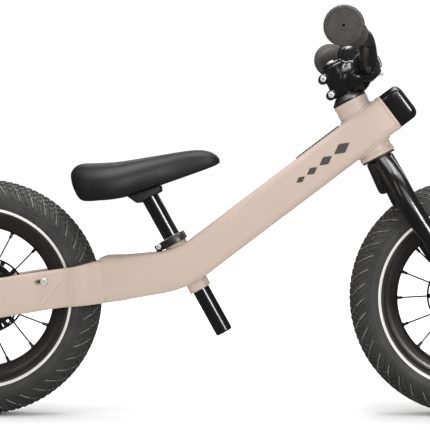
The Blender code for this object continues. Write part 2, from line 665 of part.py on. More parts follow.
def stay(side, word, parent):
    """Box stay that flares round the tyre and ends in a rounded dropout at the axle."""
    start = yoke_back.x - GAP
    dropout = stay_line(1)[1]
    sections, bores = [], []
    run = start - rear_axle.x
    shares = (0, 0.055, 0.12, 0.24, 0.385, 0.5, 0.64, 0.805, 1.0)
    stations = [start - run * share for share in shares]
    tail = [rear_axle.x - dropout * math.sin(math.radians(a)) for a in (40, 66, 84)]
    for x in stations + tail:
        share = (start - x) / run
        rise, half = stay_line(share)
        if share > 1:
            half = math.sqrt(max(dropout ** 2 - (x - rear_axle.x) ** 2, 0))
        inner = stay_inner_face(x)
        centre = Vector((x, side * (inner + STAY_THICKNESS / 2), rear_axle.z + rise))
        lean = BEAM_TILT_REAR * max(0.0, 1 - share / 0.34)
        upward = Vector((-math.sin(lean), 0, math.cos(lean)))
        sections.append(rounded_section(centre, lateral, upward, STAY_THICKNESS, 2 * half,
                                        min(STAY_CORNER, half * 0.9), steps=1))
        if x == stations[0]:
            centre = centre - Vector((STAY_WALL, 0, 0))
        if share <= 1:
            bores.append(rounded_section(centre, lateral, upward,
                                         STAY_THICKNESS - 2 * STAY_WALL, 2 * (half - STAY_WALL),
                                         STAY_CORNER - STAY_WALL, steps=1))
    piece = make(f"{word}_stay", loft(sections), frame_paint, parent)
    combine(piece, loft(bores))
    middle = (stay_inner_face(rear_axle.x) + STAY_THICKNESS / 2) * side
    place = rear_axle + lateral * middle
    reach = lateral * STAY_THICKNESS
    combine(piece, rod(place - reach, place + reach, AXLE_DIAMETER / 2 * 0.6 + GAP, 12))
    x = rear_axle.x + STAY_SCREW_AHEAD
    face = (stay_inner_face(x) + STAY_THICKNESS) * side
    spot = Vector((x, face, rear_axle.z + STAY_SCREW_HEIGHT))
    radius = STAY_SCREW_DIAMETER / 2
    bottom = spot - lateral * side * (STAY_WALL + 2 * MM)
    combine(piece, rod(bottom, spot + lateral * side * 5 * MM, radius + GAP, 12))
    frame = axis_frame(bottom, lateral * side, Vector((-1, 0, 0)))
    combine(piece, block(frame, (0, -STAY_SLOT_HEIGHT / 2, 0),
                         (STAY_SLOT_LENGTH - radius, STAY_SLOT_HEIGHT / 2, STAY_WALL + 7 * MM)))
    frame = axis_frame(spot - lateral * side * (STAY_WALL + MM), lateral * side, Vector((1, 0, 0)))
    profile = [(0, 0), (radius, 0), (radius, STAY_WALL + MM), (radius * 0.5, STAY_WALL + 2 * MM),
               (0, STAY_WALL + 2 * MM)]
    make(f"{word}_stay_plug", turned(profile, 12, frame, ring=False), steel, parent)


def front_cap(parent):
    """Hollow rounded plug over the open front end of the beam."""
    upward = Vector((-beam_front.z, 0, beam_front.x))
    frame = axis_frame(beam_nose, beam_front, upward)
    half = Vector((BEAM_DEPTH_FRONT / 2, BEAM_WIDTH / 2, 0))
    sections = [rounded_section(beam_nose + GAP * beam_front, lateral, upward, BEAM_WIDTH, BEAM_DEPTH_FRONT,
                                BEAM_CORNER)]
    for angle in (0, 30, 60, 90):
        turn = math.radians(angle)
        inset = CAP_CORNER * (1 - math.cos(turn))
        place = beam_nose + (CAP_LENGTH - CAP_CORNER * (1 - math.sin(turn))) * beam_front
        sections.append(rounded_section(place, lateral, upward, BEAM_WIDTH - 2 * inset,
                                        BEAM_DEPTH_FRONT - 2 * inset, BEAM_CORNER - inset * 0.9))
    cap = make("front_cap", loft(sections), gloss_black, parent)
    snug = BEAM_WALL + GAP
    plug = block(frame, (snug - half.x, snug - half.y, -CAP_PLUG), (half.x - snug, half.y - snug, CAP_WALL * 4),
                 CAP_CORNER - BEAM_WALL / 2, 1)
    combine(cap, plug, "UNION")
    wall = snug + CAP_WALL
    hollow = block(frame, (wall - half.x, wall - half.y, -CAP_PLUG - 9 * MM),
                   (half.x - wall, half.y - wall, CAP_LENGTH - CAP_WALL), CAP_CORNER / 2, 1)
    combine(cap, hollow)
    combine(cap, rod(beam_at_head - HEAD_TUBE_LENGTH * steer_up, beam_at_head + HEAD_TUBE_LENGTH * steer_up,
                     HEAD_TUBE_DIAMETER / 2 + 2 * GAP, 24))


def top_strip(parent):
    """Thin protector strip on the beam's upper face, just behind the head tube."""
    upward = Vector((-beam_front.z, 0, beam_front.x))
    frame = axis_frame(beam_at_head, upward, beam_front)
    start = -STRIP_FROM_HEAD - STRIP_LENGTH
    top = BEAM_DEPTH_FRONT / 2 + GAP
    strip = block(frame, (start, -STRIP_WIDTH / 2, top),
                  (-STRIP_FROM_HEAD, STRIP_WIDTH / 2, top + STRIP_THICKNESS))
    make("beam_top_strip", strip, satin_black, parent)


# ---------------------------------------------------------------- fork

leg_stations = ((-9, 10, 1.5), (-24, 22, 3.2), (-42, 34, 4.0), (-66, 42, 4.0), (-96, 46, 6.0), (-132, 47.5, 10.0))


def fork(parent):
    frame = axis_frame(head_low, steer_up, lateral)
    shaft = STEERER_DIAMETER / 2
    crown = CROWN_DIAMETER / 2
    foot = CROWN_FOOT_DIAMETER / 2
    seal = 2.4 * MM + 2 * GAP
    top = HEAD_TUBE_LENGTH + STEM_TOP - 2 * MM
    profile = [(0, -CROWN_DEPTH), (foot * 0.7, -CROWN_DEPTH), (foot, 6 * MM - CROWN_DEPTH),
               (crown, -seal), (shaft, -seal), (shaft, top), (shaft - STEERER_WALL, top),
               (shaft - STEERER_WALL, -seal), (0, -seal)]
    make("fork_steerer", turned(profile, ROUND, frame, ring=False), gloss_black, parent)
    seal_ring = ring_of(BEARING_SEAT / 2 + 2 * MM, shaft + GAP, head_low - (seal - GAP) * steer_up,
                        head_low - GAP * steer_up)
    make("lower_seal", seal_ring, satin_black, parent)
    drop = HEAD_ABOVE_AXLE - LEG_DIAMETER * 0.55
    for side, word in ((-1, "right"), (1, "left")):
        points = [head_low + steer_up * h * MM + lateral * side * y * MM + steer_forward * f * MM
                  for h, y, f in leg_stations]
        lean = FORK_RAKE * 0.93
        tip_y = FORK_SPAN / 2 + DROPOUT_THICKNESS / 2
        points.append(head_low - steer_up * drop + lateral * side * tip_y + steer_forward * lean)
        path = smooth_path(points, 1)
        last = len(path) - 1
        radii = [(LEG_DIAMETER + (LEG_TIP_DIAMETER - LEG_DIAMETER) * i / last) / 2 for i in range(last + 1)]
        leg = make(f"fork_leg_{word}", bar_along(path, radii), gloss_black, parent)
        hollow(leg, path, radii, LEG_WALL)
        trim = [(0, -CROWN_DEPTH - GAP), (foot * 0.7 + GAP, -CROWN_DEPTH - GAP),
                (foot + GAP, 6 * MM - CROWN_DEPTH), (crown + GAP, -seal - GAP),
                (HEAD_TUBE_DIAMETER, -seal - GAP), (HEAD_TUBE_DIAMETER, LEG_DIAMETER), (0, LEG_DIAMETER)]
        combine(leg, turned(trim, ROUND, frame, ring=False))
        dropout(leg, side, word, path[-1], parent)


def dropout(leg, side, word, tip, parent):
    """Flat forged end slotted into a fork leg, bored for the axle bolt."""
    inner_face = FORK_SPAN / 2
    down = (front_axle - Vector((tip.x, 0, tip.z))).normalized()
    across = down.cross(lateral)
    middle = lateral * side * (inner_face + DROPOUT_THICKNESS / 2)
    hub_face = front_axle + middle
    half = lateral * DROPOUT_THICKNESS / 2
    plate = make(f"fork_dropout_{word}", rod(hub_face - half, hub_face + half, DROPOUT_DIAMETER / 2, 16),
                 gloss_black, parent)
    frame = axis_frame(hub_face, down * -1, lateral)
    length = (tip - Vector((0, tip.y, 0)) - front_axle).length + DROPOUT_INSERT
    thick, wide = DROPOUT_THICKNESS / 2, LEG_TIP_DIAMETER * 0.42
    combine(plate, block(frame, (-thick, -wide, 0), (thick, wide, length)), "UNION")
    combine(leg, block(frame, (-thick - GAP, -wide - GAP, 0), (thick + GAP, wide + GAP, length + GAP)))
    combine(plate, rod(hub_face - half * 3, hub_face + half * 3, AXLE_DIAMETER / 2 * 0.6 + GAP, 12))


# ---------------------------------------------------------------- stem and handlebar

def stem(parent):
    frame = axis_frame(head_top, steer_up, steer_forward)
    clamp = STEM_CLAMP_DIAMETER / 2
    bore = STEERER_DIAMETER / 2 + GAP
    profile = [(0, STEM_BOTTOM), (clamp - 2 * MM, STEM_BOTTOM), (clamp, STEM_BOTTOM + 3 * MM),
               (clamp, STEM_TOP - 3 * MM), (clamp - 2 * MM, STEM_TOP), (0, STEM_TOP)]
    body = make("stem", turned(profile, ROUND, frame, ring=False), gloss_black, parent)
    ring = BAR_CLAMP_DIAMETER / 2
    half = BAR_CLAMP_WIDTH / 2
    combine(body, rod(bar_centre - lateral * half, bar_centre + lateral * half, ring, ROUND), "UNION")
    neck = block(frame, (3 * MM, -half * 0.8, STEM_BAR_HEIGHT - ring * 0.86),
                 (STEM_REACH, half * 0.8, STEM_BAR_HEIGHT + ring * 0.86), 4 * MM, 1)
    combine(body, neck, "UNION")
    middle_height = (STEM_TOP + STEM_BOTTOM) / 2 - STEM_BOLT_DROP
    for offset, word in ((STEM_BOLT_SPACING / 2, "upper"), (-STEM_BOLT_SPACING / 2, "lower")):
        place = head_top - STEM_BOLT_BACK * steer_forward + (middle_height + offset) * steer_up
        reach = lateral * STEM_EAR_WIDTH / 2
        combine(body, rod(place - reach, place + reach, STEM_EAR_DIAMETER / 2, 12), "UNION")
    combine(body, rod(head_top, head_top + (STEM_TOP + 10 * MM) * steer_up, bore))
    slit = 2 * MM
    combine(body, block(frame, (-STEM_BOLT_BACK * 2, -slit / 2, 0), (-bore * 0.6, slit / 2, STEM_TOP + 5 * MM)))
    bar_bore = BAR_DIAMETER / 2 + RUNNING_GAP / 2
    combine(body, rod(bar_centre - lateral * half * 2, bar_centre + lateral * half * 2, bar_bore))
    face = STEM_REACH + 1.5 * MM
    combine(body, block(frame, (face, -half * 2, -ring), (face + ring * 2, half * 2, STEM_BAR_HEIGHT + ring * 2)))
    for offset, word in ((STEM_BOLT_SPACING / 2, "upper"), (-STEM_BOLT_SPACING / 2, "lower")):
        place = head_top - STEM_BOLT_BACK * steer_forward + (middle_height + offset) * steer_up
        reach = STEM_EAR_WIDTH / 2
        thread = STEM_BOLT_DIAMETER / 2
        combine(body, rod(place - lateral * (reach + MM), place + lateral * (reach + MM), thread + GAP, 12))
        make_bolt(f"stem_bolt_{word}", place, lateral * -1, reach, thread, STEM_BOLT_HEAD / 2, parent)
    faceplate(body, frame, parent)
    top_cap(parent)
    cover = [(STEERER_DIAMETER / 2 + GAP, GAP), (HEAD_TUBE_DIAMETER / 2 + 0.3 * MM, GAP),
             (HEAD_TUBE_DIAMETER / 2 + 0.3 * MM, 3 * MM), (clamp - 2 * MM, STEM_BOTTOM - GAP),
             (STEERER_DIAMETER / 2 + GAP, STEM_BOTTOM - GAP)]
    make("headset_cover", turned(cover, 24, axis_frame(head_top, steer_up, lateral)), satin_black, parent)


def faceplate(body, frame, parent):
    """Front half of the bar clamp, held by one screw above and one below the bar."""
    ring = BAR_CLAMP_DIAMETER / 2
    half = BAR_CLAMP_WIDTH / 2
    plate = make("stem_faceplate", rod(bar_centre - lateral * half, bar_centre + lateral * half, ring),
                 gloss_black, parent)
    bar_bore = BAR_DIAMETER / 2 + RUNNING_GAP / 2
    combine(plate, rod(bar_centre - lateral * half * 2, bar_centre + lateral * half * 2, bar_bore))
    face = STEM_REACH + 1.5 * MM
    combine(plate, block(frame, (-ring, -half * 2, -ring), (face + 1.2 * MM, half * 2, STEM_BAR_HEIGHT + ring * 2)))
    thread = 2 * MM
    head = 3.4 * MM
    for rise, word in ((1, "upper"), (-1, "lower")):
        place = bar_centre + steer_up * rise * (BAR_DIAMETER / 2 + ring) / 2
        start = place - steer_forward * 9 * MM
        end = place + steer_forward * (ring + 5 * MM)
        combine(body, rod(start, end, thread + GAP, 12))
        combine(plate, rod(start, end, thread + GAP, 12))
        seat = place + steer_forward * 9.5 * MM
        combine(plate, rod(seat, end, head + GAP, 12))
        turn = axis_frame(place, steer_forward, lateral)
        profile = [(0, -8 * MM), (thread, -8 * MM), (thread, 9.8 * MM), (head, 9.8 * MM), (head, 13.8 * MM),
                   (0, 13.8 * MM)]
        make(f"faceplate_bolt_{word}", turned(profile, 12, turn, ring=False), bolt_silver, parent)


def top_cap(parent):
    frame = axis_frame(head_top, steer_up, steer_forward)
    low = STEM_TOP + GAP
    radius = STEM_CLAMP_DIAMETER / 2 - 3 * MM
    bolt = 3 * MM
    profile = [(bolt + GAP, low), (radius, low), (radius, low + 2 * MM), (radius - MM, low + 3 * MM),
               (bolt + GAP, low + 3 * MM)]
    make("top_cap", turned(profile, ROUND, frame), gloss_black, parent)
    head = 5 * MM
    top = low + 3 * MM + GAP
    profile = [(0, low - 30 * MM), (bolt, low - 30 * MM), (bolt, top), (head, top), (head, top + 2.5 * MM),
               (0, top + 2.5 * MM)]
    make("top_cap_bolt", turned(profile, 12, frame, ring=False), bolt_silver, parent)


def bar_path(side):
    """Centre line of one half of the bar, from its middle out to its end."""
    grip_start = BAR_WIDTH / 2 - GRIP_LENGTH
    end = BAR_WIDTH / 2 - GRIP_END_THICKNESS * 0.6
    knee = BAR_CENTRE_WIDTH / 2
    top = (knee + grip_start) / 2
    back_at_top = (BAR_KNEE_BACK + BAR_GRIP_BACK) / 2
    stations = ((knee * 0.5, 0, 0), (knee * 0.85, 0, 0), (knee + 6 * MM, 0, 0.12),
                (knee + 24 * MM, BAR_KNEE_BACK * 0.35, 0.57), (top + 3 * MM, BAR_KNEE_BACK, 0.92),
                (top + 24 * MM, back_at_top, 1.0), (grip_start, BAR_GRIP_BACK, 1.0),
                (end, BAR_GRIP_BACK + math.tan(BAR_SWEEP) * (end - grip_start), 1.0))
    return [bar_centre + Vector((-back, side * out, BAR_RISE * rise)) for out, back, rise in stations]


def handlebar(parent):
    path = list(reversed(bar_path(-1))) + bar_path(1)
    radii = [BAR_DIAMETER / 2] * len(path)
    bar = make("handlebar", bar_along(path, radii), gloss_black, parent)
    hollow(bar, path, radii, BAR_WALL)
    for side, word in ((-1, "right"), (1, "left")):
        points = bar_path(side)
        inner, end = points[-2], points[-1]
        along = (end - inner).normalized()
        tip = end + along * GRIP_END_THICKNESS * 0.6
        frame = axis_frame(tip, along * -1, along.cross(Vector((0, 0, 1))).normalized())
        bore = BAR_DIAMETER / 2 + 2 * GAP
        body = GRIP_DIAMETER / 2
        flange = GRIP_END_DIAMETER / 2
        collar = GRIP_COLLAR_DIAMETER / 2
        length = (tip - inner).length
        cup = GRIP_END_THICKNESS * 0.6 - GAP
        hole = 1.8 * MM
        profile = [(hole, 0), (flange - 2 * MM, 0), (flange, 2 * MM), (flange, GRIP_END_THICKNESS - 2 * MM),
                   (flange - 3 * MM, GRIP_END_THICKNESS), (body, GRIP_END_THICKNESS + 3 * MM),
                   (body, length - 6 * MM), (collar, length - 4 * MM), (collar, length), (bore, length),
                   (bore, cup), (hole, cup)]
        make(f"grip_{word}", turned(profile, ROUND, frame), grip_rubber, parent)


# ---------------------------------------------------------------- seat

def seat_post(parent):
    low = seat_centre - POST_BELOW * seat_up
    high = post_head + POST_IN_BRACKET * seat_up
    radius = POST_DIAMETER / 2
    make("seat_post", ring_of(radius, radius - POST_WALL, low, high), gloss_black, parent)
    inner = radius - POST_WALL - GAP
    frame = axis_frame(low - GAP * seat_up, seat_up, (seat_up.to_track_quat("Z", "Y") @ Vector((1, 0, 0))))
    profile = [(0, -1.5 * MM), (radius - MM, -1.5 * MM), (radius, -0.5 * MM), (radius, 0), (inner, 0),
               (inner, 9 * MM), (inner - 2 * MM, 9 * MM), (inner - 2 * MM, 2 * MM), (0, 2 * MM)]
    make("seat_post_plug", turned(profile, ROUND, frame, ring=False), satin_black, parent)


# saddle stations: place along X from the post's head, and heights of its top and underside
# there, each as measured from the post's head, then its half width as a share of the widest
saddle_stations = (
    (-97.5, 33, 21.0, 0.42), (-93.5, 40, 11.0, 0.66), (-84, 44.6, -0.5, 0.86), (-66, 44.9, -4.3, 1.0),
    (-38, 46.3, -1.2, 0.97), (-12, 51, 7.5, 0.78), (14, 55.2, 16.2, 0.55), (40, 59.7, 25.2, 0.42),
    (62, 62.5, 33.0, 0.36), (79, 59.2, 39.0, 0.3), (88.5, 50, 43.0, 0.16))


def saddle_sections():
    reach = SADDLE_LENGTH / ((saddle_stations[-1][0] - saddle_stations[0][0]) * MM)
    for x, top, low, share in saddle_stations:
        yield Vector((x * reach * MM, 0, 0)) + post_head, top * MM, low * MM, share * SADDLE_WIDTH / 2


def saddle(parent):
    """Foam pad over a moulded base plate, on a bracket that takes the post's head."""
    pad, base_low, base_high = [], [], []
    up = Vector((0, 0, 1))
    for middle, top, low, half in saddle_sections():
        ridge = middle + up * top
        floor = low + SADDLE_BASE + GAP
        height = top - floor
        edge = middle + up * (floor + height * 0.38)
        foot = middle + up * floor
        pad.append([ridge, ridge + lateral * half * 0.42 - up * height * 0.05,
                    ridge + lateral * half * 0.8 - up * height * 0.24, edge + lateral * half,
                    foot + lateral * half * 0.93, foot - lateral * half * 0.93, edge - lateral * half,
                    ridge - lateral * half * 0.8 - up * height * 0.24,
                    ridge - lateral * half * 0.42 - up * height * 0.05])
        base_half = half * 0.9 - 0.5 * MM
        base_low.append([middle + up * low + lateral * base_half * 0.9,
                         middle + up * (low + SADDLE_BASE) + lateral * base_half,
                         middle + up * (low + SADDLE_BASE) - lateral * base_half,
                         middle + up * low - lateral * base_half * 0.9])
    make("saddle_pad", loft(pad), saddle_skin, parent)
    make("saddle_base", loft(base_low), satin_black, parent)
    bracket(parent)


def bracket(parent):
    """Socket under the saddle: square to the post below, lying along the base plate above."""
    outline = []
    for along, forward in ((0, BRACKET_FRONT), (0, -BRACKET_BACK + 3 * MM)):
        outline.append(post_head + along * seat_up + forward * seat_forward)
    outline.append(post_head + 1.5 * MM * seat_up - BRACKET_BACK * seat_forward)
    places = list(saddle_sections())
    lift = Vector((0, 0, -GAP))

    def underside(x):
        for (a, _, low_a, _), (b, _, low_b, _) in zip(places, places[1:]):
            if a.x <= x <= b.x:
                share = (x - a.x) / (b.x - a.x)
                return Vector((x, 0, post_head.z + low_a + (low_b - low_a) * share))
        return None

    back = post_head.x - 28 * MM
    front = post_head.x + 14 * MM
    knots = [a.x for a, _, _, _ in places if back < a.x < front]
    outline += [underside(x) + lift for x in (back, *knots, front)]
    half = lateral * BRACKET_WIDTH / 2
    shape = loft([[p - half for p in outline], [p + half for p in outline]])
    piece = make("saddle_bracket", shape, satin_black, parent)
    low = post_head - 2 * MM * seat_up
    high = post_head + (POST_IN_BRACKET + GAP) * seat_up
    combine(piece, rod(low, high, POST_DIAMETER / 2 + GAP))


# ---------------------------------------------------------------- assembly

for leftover in list(bpy.data.objects):
    bpy.data.objects.remove(leftover)

frame_paint = material("frame paint", (0.63, 0.51, 0.43), 0.35)
gloss_black = material("gloss black", (0.008, 0.008, 0.009), 0.12)
satin_black = material("satin black", (0.012, 0.012, 0.013), 0.4)
rim_black = material("rim black", (0.02, 0.018, 0.018), 0.35)
hub_black = material("hub black", (0.012, 0.012, 0.012), 0.3)
rubber = material("tyre rubber", (0.035, 0.034, 0.033), 0.75)
inner_rubber = material("inner tube rubber", (0.015, 0.015, 0.015), 0.6)
grip_rubber = material("grip rubber", (0.085, 0.075, 0.068), 0.8)
saddle_skin = material("saddle skin", (0.022, 0.021, 0.022), 0.5)
steel = material("steel", (0.6, 0.6, 0.6), 0.3, 1.0)
bolt_silver = material("zinc bolt", (0.7, 0.7, 0.7), 0.25, 1.0)
bolt_black = material("black bolt", (0.02, 0.02, 0.02), 0.35, 0.6)

frame_pivot = pivot("frame_origin", Vector((0, 0, 0)))
steer_pivot = pivot("steering_axis", head_low)
bar_pivot = pivot("handlebar_axis", bar_centre)
seat_pivot = pivot("seat_post_axis", seat_centre)
rear_pivot = pivot("rear_wheel_axis", rear_axle)
front_pivot = pivot("front_wheel_axis", front_axle)
bpy.context.view_layer.update()

main_beam(frame_pivot)
head_tube(frame_pivot)
seat_tube(frame_pivot)
seat_collar(frame_pivot)
yoke(frame_pivot)
stay(-1, "right", frame_pivot)
stay(1, "left", frame_pivot)
front_cap(frame_pivot)
top_strip(frame_pivot)
axle_set("rear", rear_axle, frame_pivot, STAY_SPAN / 2 + STAY_THICKNESS)
fork(steer_pivot)
axle_set("front", front_axle, steer_pivot, FORK_SPAN / 2 + DROPOUT_THICKNESS)
stem(steer_pivot)
handlebar(bar_pivot)
seat_post(seat_pivot)
saddle(seat_pivot)
half_gap = math.pi / SPOKE_COUNT
wheel("front", front_axle, front_pivot, FRONT_SPOKE_PHASE, FRONT_SPOKE_PHASE + half_gap)
wheel("rear", rear_axle, rear_pivot, REAR_SPOKE_PHASE, math.pi + REAR_SPOKE_PHASE + half_gap)
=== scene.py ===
# Balance bike: the finished look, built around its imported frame. Shapes are worked in millimetres.
import json
import math

import bmesh
import bpy
from mathutils import Matrix, Vector


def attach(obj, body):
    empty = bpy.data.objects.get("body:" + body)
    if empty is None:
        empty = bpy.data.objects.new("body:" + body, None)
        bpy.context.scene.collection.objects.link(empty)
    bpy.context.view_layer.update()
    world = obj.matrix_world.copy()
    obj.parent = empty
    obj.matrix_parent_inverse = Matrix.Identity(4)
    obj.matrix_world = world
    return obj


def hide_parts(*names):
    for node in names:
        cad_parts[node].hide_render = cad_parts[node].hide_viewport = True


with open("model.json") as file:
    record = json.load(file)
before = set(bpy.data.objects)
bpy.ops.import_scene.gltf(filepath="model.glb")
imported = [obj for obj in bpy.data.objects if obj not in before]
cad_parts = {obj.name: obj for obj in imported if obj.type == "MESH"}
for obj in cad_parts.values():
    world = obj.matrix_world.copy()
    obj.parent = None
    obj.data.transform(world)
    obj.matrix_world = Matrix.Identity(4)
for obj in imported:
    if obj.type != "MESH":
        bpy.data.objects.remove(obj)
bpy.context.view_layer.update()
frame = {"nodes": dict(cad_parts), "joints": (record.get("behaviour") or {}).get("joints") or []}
print("frame loaded:", len(frame["nodes"]), "nodes")

mm = 0.001
lateral = Vector((0, 1, 0))
ends = ((-1, "right"), (1, "left"))


def jointLine(name):
    for joint in frame["joints"]:
        if joint["name"] == name:
            return Vector(joint.get("pos_m", (0, 0, 0))) / mm, Vector(joint["axis"]).normalized()


headLow, steerUp = jointLine("steering")
barCentre, frontAxle, rearAxle = (jointLine(name)[0] for name in ("bar_angle", "front_wheel_spin", "rear_wheel_spin"))
seatUp = jointLine("seat_height")[1]
steerForward = lateral.cross(steerUp)
seatForward = lateral.cross(seatUp)

# ---- camera, light and floor

cameraAt = {"x": 0.07012, "y": -1.75, "z": 0.2926, "lens": 113.66, "shiftX": -0.1512, "shiftY": -0.0651}
lamps = (   # name, place, aim, size, watts, lights surfaces too
    ("overheadSheen", (0.05, -0.35, 1.9), (0.05, 0.0, 0.2), (2.6, 0.9), 38, False),
    ("keySheen", (1.15, -1.72, 0.95), (0.15, 0.0, 0.35), (0.42, 0.7), 36, False),
    ("fillStrip", (-1.5, -1.7, 1.0), (-0.1, 0.0, 0.3), (0.3, 0.9), 4, False),
    ("backStrip", (0.4, 1.7, 1.3), (0.1, 0.0, 0.35), (2.2, 0.5), 9, False),
    ("overheadSoft", (0.1, 0.0, 2.1), (0.05, 0.0, 0.0), (1.7, 1.1), 38, True),
    ("frontSoft", (0.5, -2.4, 1.5), (0.0, 0.0, 0.25), (1.6, 1.2), 18, True),
)
studio = {"seen": 1.08, "diffuse": 0.66, "glossy": 0.09}
floorHalf = 14
floorGlow = {"From Min": 0.45, "From Max": 1.5, "To Min": 0.0, "To Max": 0.8}   # by metres out from the middle


def join(tree, node, feeds):
    # give a node's inputs a value, or the output of another node
    for label, value in feeds.items():
        if isinstance(value, bpy.types.NodeSocket):
            tree.links.new(value, node.inputs[label])
        else:
            node.inputs[label].default_value = value


def nodeIn(tree, kind, feeds, **settings):
    node = tree.nodes.new(f"ShaderNode{kind}")
    for label, value in settings.items():
        setattr(node, label, value)
    join(tree, node, feeds)
    return node


def linked(name, data):
    thing = bpy.data.objects.new(name, data)
    bpy.context.scene.collection.objects.link(thing)
    return thing


def makeCamera():
    data = bpy.data.cameras.new("studioCamera")
    data.lens = cameraAt["lens"]
    data.shift_x = cameraAt["shiftX"]
    data.shift_y = cameraAt["shiftY"]
    camera = linked("studioCamera", data)
    camera.location = (cameraAt["x"], cameraAt["y"], cameraAt["z"])
    camera.rotation_euler = (math.pi / 2, 0, 0)
    bpy.context.scene.camera = camera


def makeLamps():
    for name, spot, aim, size, watts, spreads in lamps:
        lamp = bpy.data.lights.new(name, "AREA")
        lamp.shape = "RECTANGLE"
        lamp.size, lamp.size_y = size
        lamp.energy = watts
        holder = linked(name, lamp)
        holder.location = spot
        holder.rotation_euler = (Vector(aim) - Vector(spot)).to_track_quat("-Z", "Y").to_euler()
        holder.visible_diffuse = spreads


def makeWorld():
    # white to the camera, softer on surfaces and nearly dark in reflections
    world = bpy.data.worlds.new("whiteStudio")
    bpy.context.scene.world = world
    world.use_nodes = True
    tree = world.node_tree
    tree.nodes.clear()
    path = nodeIn(tree, "LightPath", {}).outputs
    shade = None
    for kind, flag in (("diffuse", None), ("glossy", "Is Glossy Ray"), ("seen", "Is Camera Ray")):
        back = nodeIn(tree, "Background", {"Color": (1, 1, 1, 1), "Strength": studio[kind]}).outputs[0]
        shade = nodeIn(tree, "MixShader", {0: path[flag], 1: shade, 2: back}).outputs[0] if flag else back
    nodeIn(tree, "OutputWorld", {0: shade})


def makeFloor():
    # white paint that glows more the further out it is, so that no edge shows far off
    bm = bmesh.new()
    bmesh.ops.create_grid(bm, x_segments=1, y_segments=1, size=floorHalf)
    mesh = bpy.data.meshes.new("studioFloor")
    bm.to_mesh(mesh)
    bm.free()
    floor = linked("studioFloor", mesh)
    paint = bpy.data.materials.new("floorPaint")
    paint.use_nodes = True
    tree = paint.node_tree
    where = nodeIn(tree, "TexCoord", {}).outputs["Object"]
    reach = nodeIn(tree, "VectorMath", {0: where}, operation="LENGTH").outputs["Value"]
    glow = nodeIn(tree, "MapRange", {"Value": reach, **floorGlow}).outputs["Result"]
    join(tree, tree.nodes["Principled BSDF"], {"Base Color": (0.97, 0.97, 0.97, 1), "Roughness": 0.9,
                                               "Specular IOR Level": 0.1, "Emission Strength": 1.0,
                                               "Emission Color": glow})
    mesh.materials.append(paint)
    floor.visible_glossy = False


makeCamera()
makeLamps()
makeWorld()
makeFloor()
bpy.context.scene.view_settings.view_transform = "Standard"
print("camera, lamps and floor set")

# ---- material groups


def newGroup(name, inputs, outputs):
    # a shader group, with its inputs' outputs, its end and its coordinates
    group = bpy.data.node_groups.new(name, "ShaderNodeTree")
    for label, value in inputs.items():
        kind = "Color" if isinstance(value, tuple) else "Float"
        group.interface.new_socket(label, in_out="INPUT", socket_type=f"NodeSocket{kind}").default_value = value
    for label, kind in outputs.items():
        group.interface.new_socket(label, in_out="OUTPUT", socket_type=f"NodeSocket{kind}")
    start, end = group.nodes.new("NodeGroupInput"), group.nodes.new("NodeGroupOutput")
    return group, start.outputs, end, nodeIn(group, "TexCoord", {}).outputs


def noiseIn(tree, coords, scale, detail=3.0, rough=0.55):
    feeds = {"Vector": coords, "Scale": scale, "Detail": detail, "Roughness": rough}
    return nodeIn(tree, "TexNoise", feeds).outputs["Fac"]


def ramp(tree, source, low, high, toLow=0.0, toHigh=1.0):
    feeds = {"Value": source, "From Min": low, "From Max": high, "To Min": toLow, "To Max": toHigh}
    return nodeIn(tree, "MapRange", feeds).outputs["Result"]


def mixed(tree, share, first, second):
    return nodeIn(tree, "Mix", {"Factor": share, "A": first, "B": second}, data_type="RGBA").outputs["Result"]


def maths(tree, kind, first, second=None):
    feeds = {0: first} if second is None else {0: first, 1: second}
    return nodeIn(tree, "Math", feeds, operation=kind).outputs[0]


def mottleGroup():
    # slow patches between two near colours, with a few specks of dust
    group, given, end, coords = newGroup(
        "mottle", {"Colour": (0.5, 0.5, 0.5, 1), "Patch": (0.4, 0.4, 0.4, 1), "Dust": (0.6, 0.58, 0.55, 1),
                   "Scale": 20.0, "Dusty": 0.1}, {"Colour": "Color"})
    patches = ramp(group, noiseIn(group, coords["Object"], given["Scale"]), 0.35, 0.65)
    base = mixed(group, patches, given["Colour"], given["Patch"])
    specks = ramp(group, noiseIn(group, coords["Object"], 900.0, 2.0), 0.6, 0.78, 0.0, given["Dusty"])
    join(group, end, {"Colour": mixed(group, specks, base, given["Dust"])})
    return group


def smudgeGroup():
    # roughness that drifts between two values, as handling leaves it
    group, given, end, coords = newGroup("smudge", {"Low": 0.2, "High": 0.4, "Scale": 30.0}, {"Roughness": "Float"})
    drift = noiseIn(group, coords["Object"], given["Scale"], 4.0, 0.6)
    join(group, end, {"Roughness": ramp(group, drift, 0.35, 0.7, given["Low"], given["High"])})
    return group


def grainGroup():
    # fine moulded or sprayed grain as a normal
    group, given, end, coords = newGroup("fineGrain", {"Scale": 800.0, "Depth": 0.00005, "Coarse": 120.0},
                                         {"Normal": "Vector"})
    fine, broad = (noiseIn(group, coords["Object"], given[label], 2.0) for label in ("Scale", "Coarse"))
    depth = maths(group, "MULTIPLY", maths(group, "ADD", fine, broad), given["Depth"])
    join(group, end, {"Normal": nodeIn(group, "Bump", {"Distance": 1.0, "Height": depth}).outputs["Normal"]})
    return group


def scratchGroup():
    # faint straight scratches that show only in a gloss
    group, given, end, coords = newGroup("hairScratches", {"Roughness": 0.1, "Scratched": 0.35, "Scale": 60.0},
                                         {"Roughness": "Float"})
    turned = nodeIn(group, "Mapping",
                    {"Vector": coords["Object"], "Rotation": (0.4, 0.9, 0.3), "Scale": (1.0, 14.0, 14.0)})
    lines = noiseIn(group, turned.outputs["Vector"], given["Scale"], 3.0, 0.7)
    join(group, end, {"Roughness": ramp(group, lines, 0.62, 0.72, given["Roughness"], given["Scratched"])})
    return group


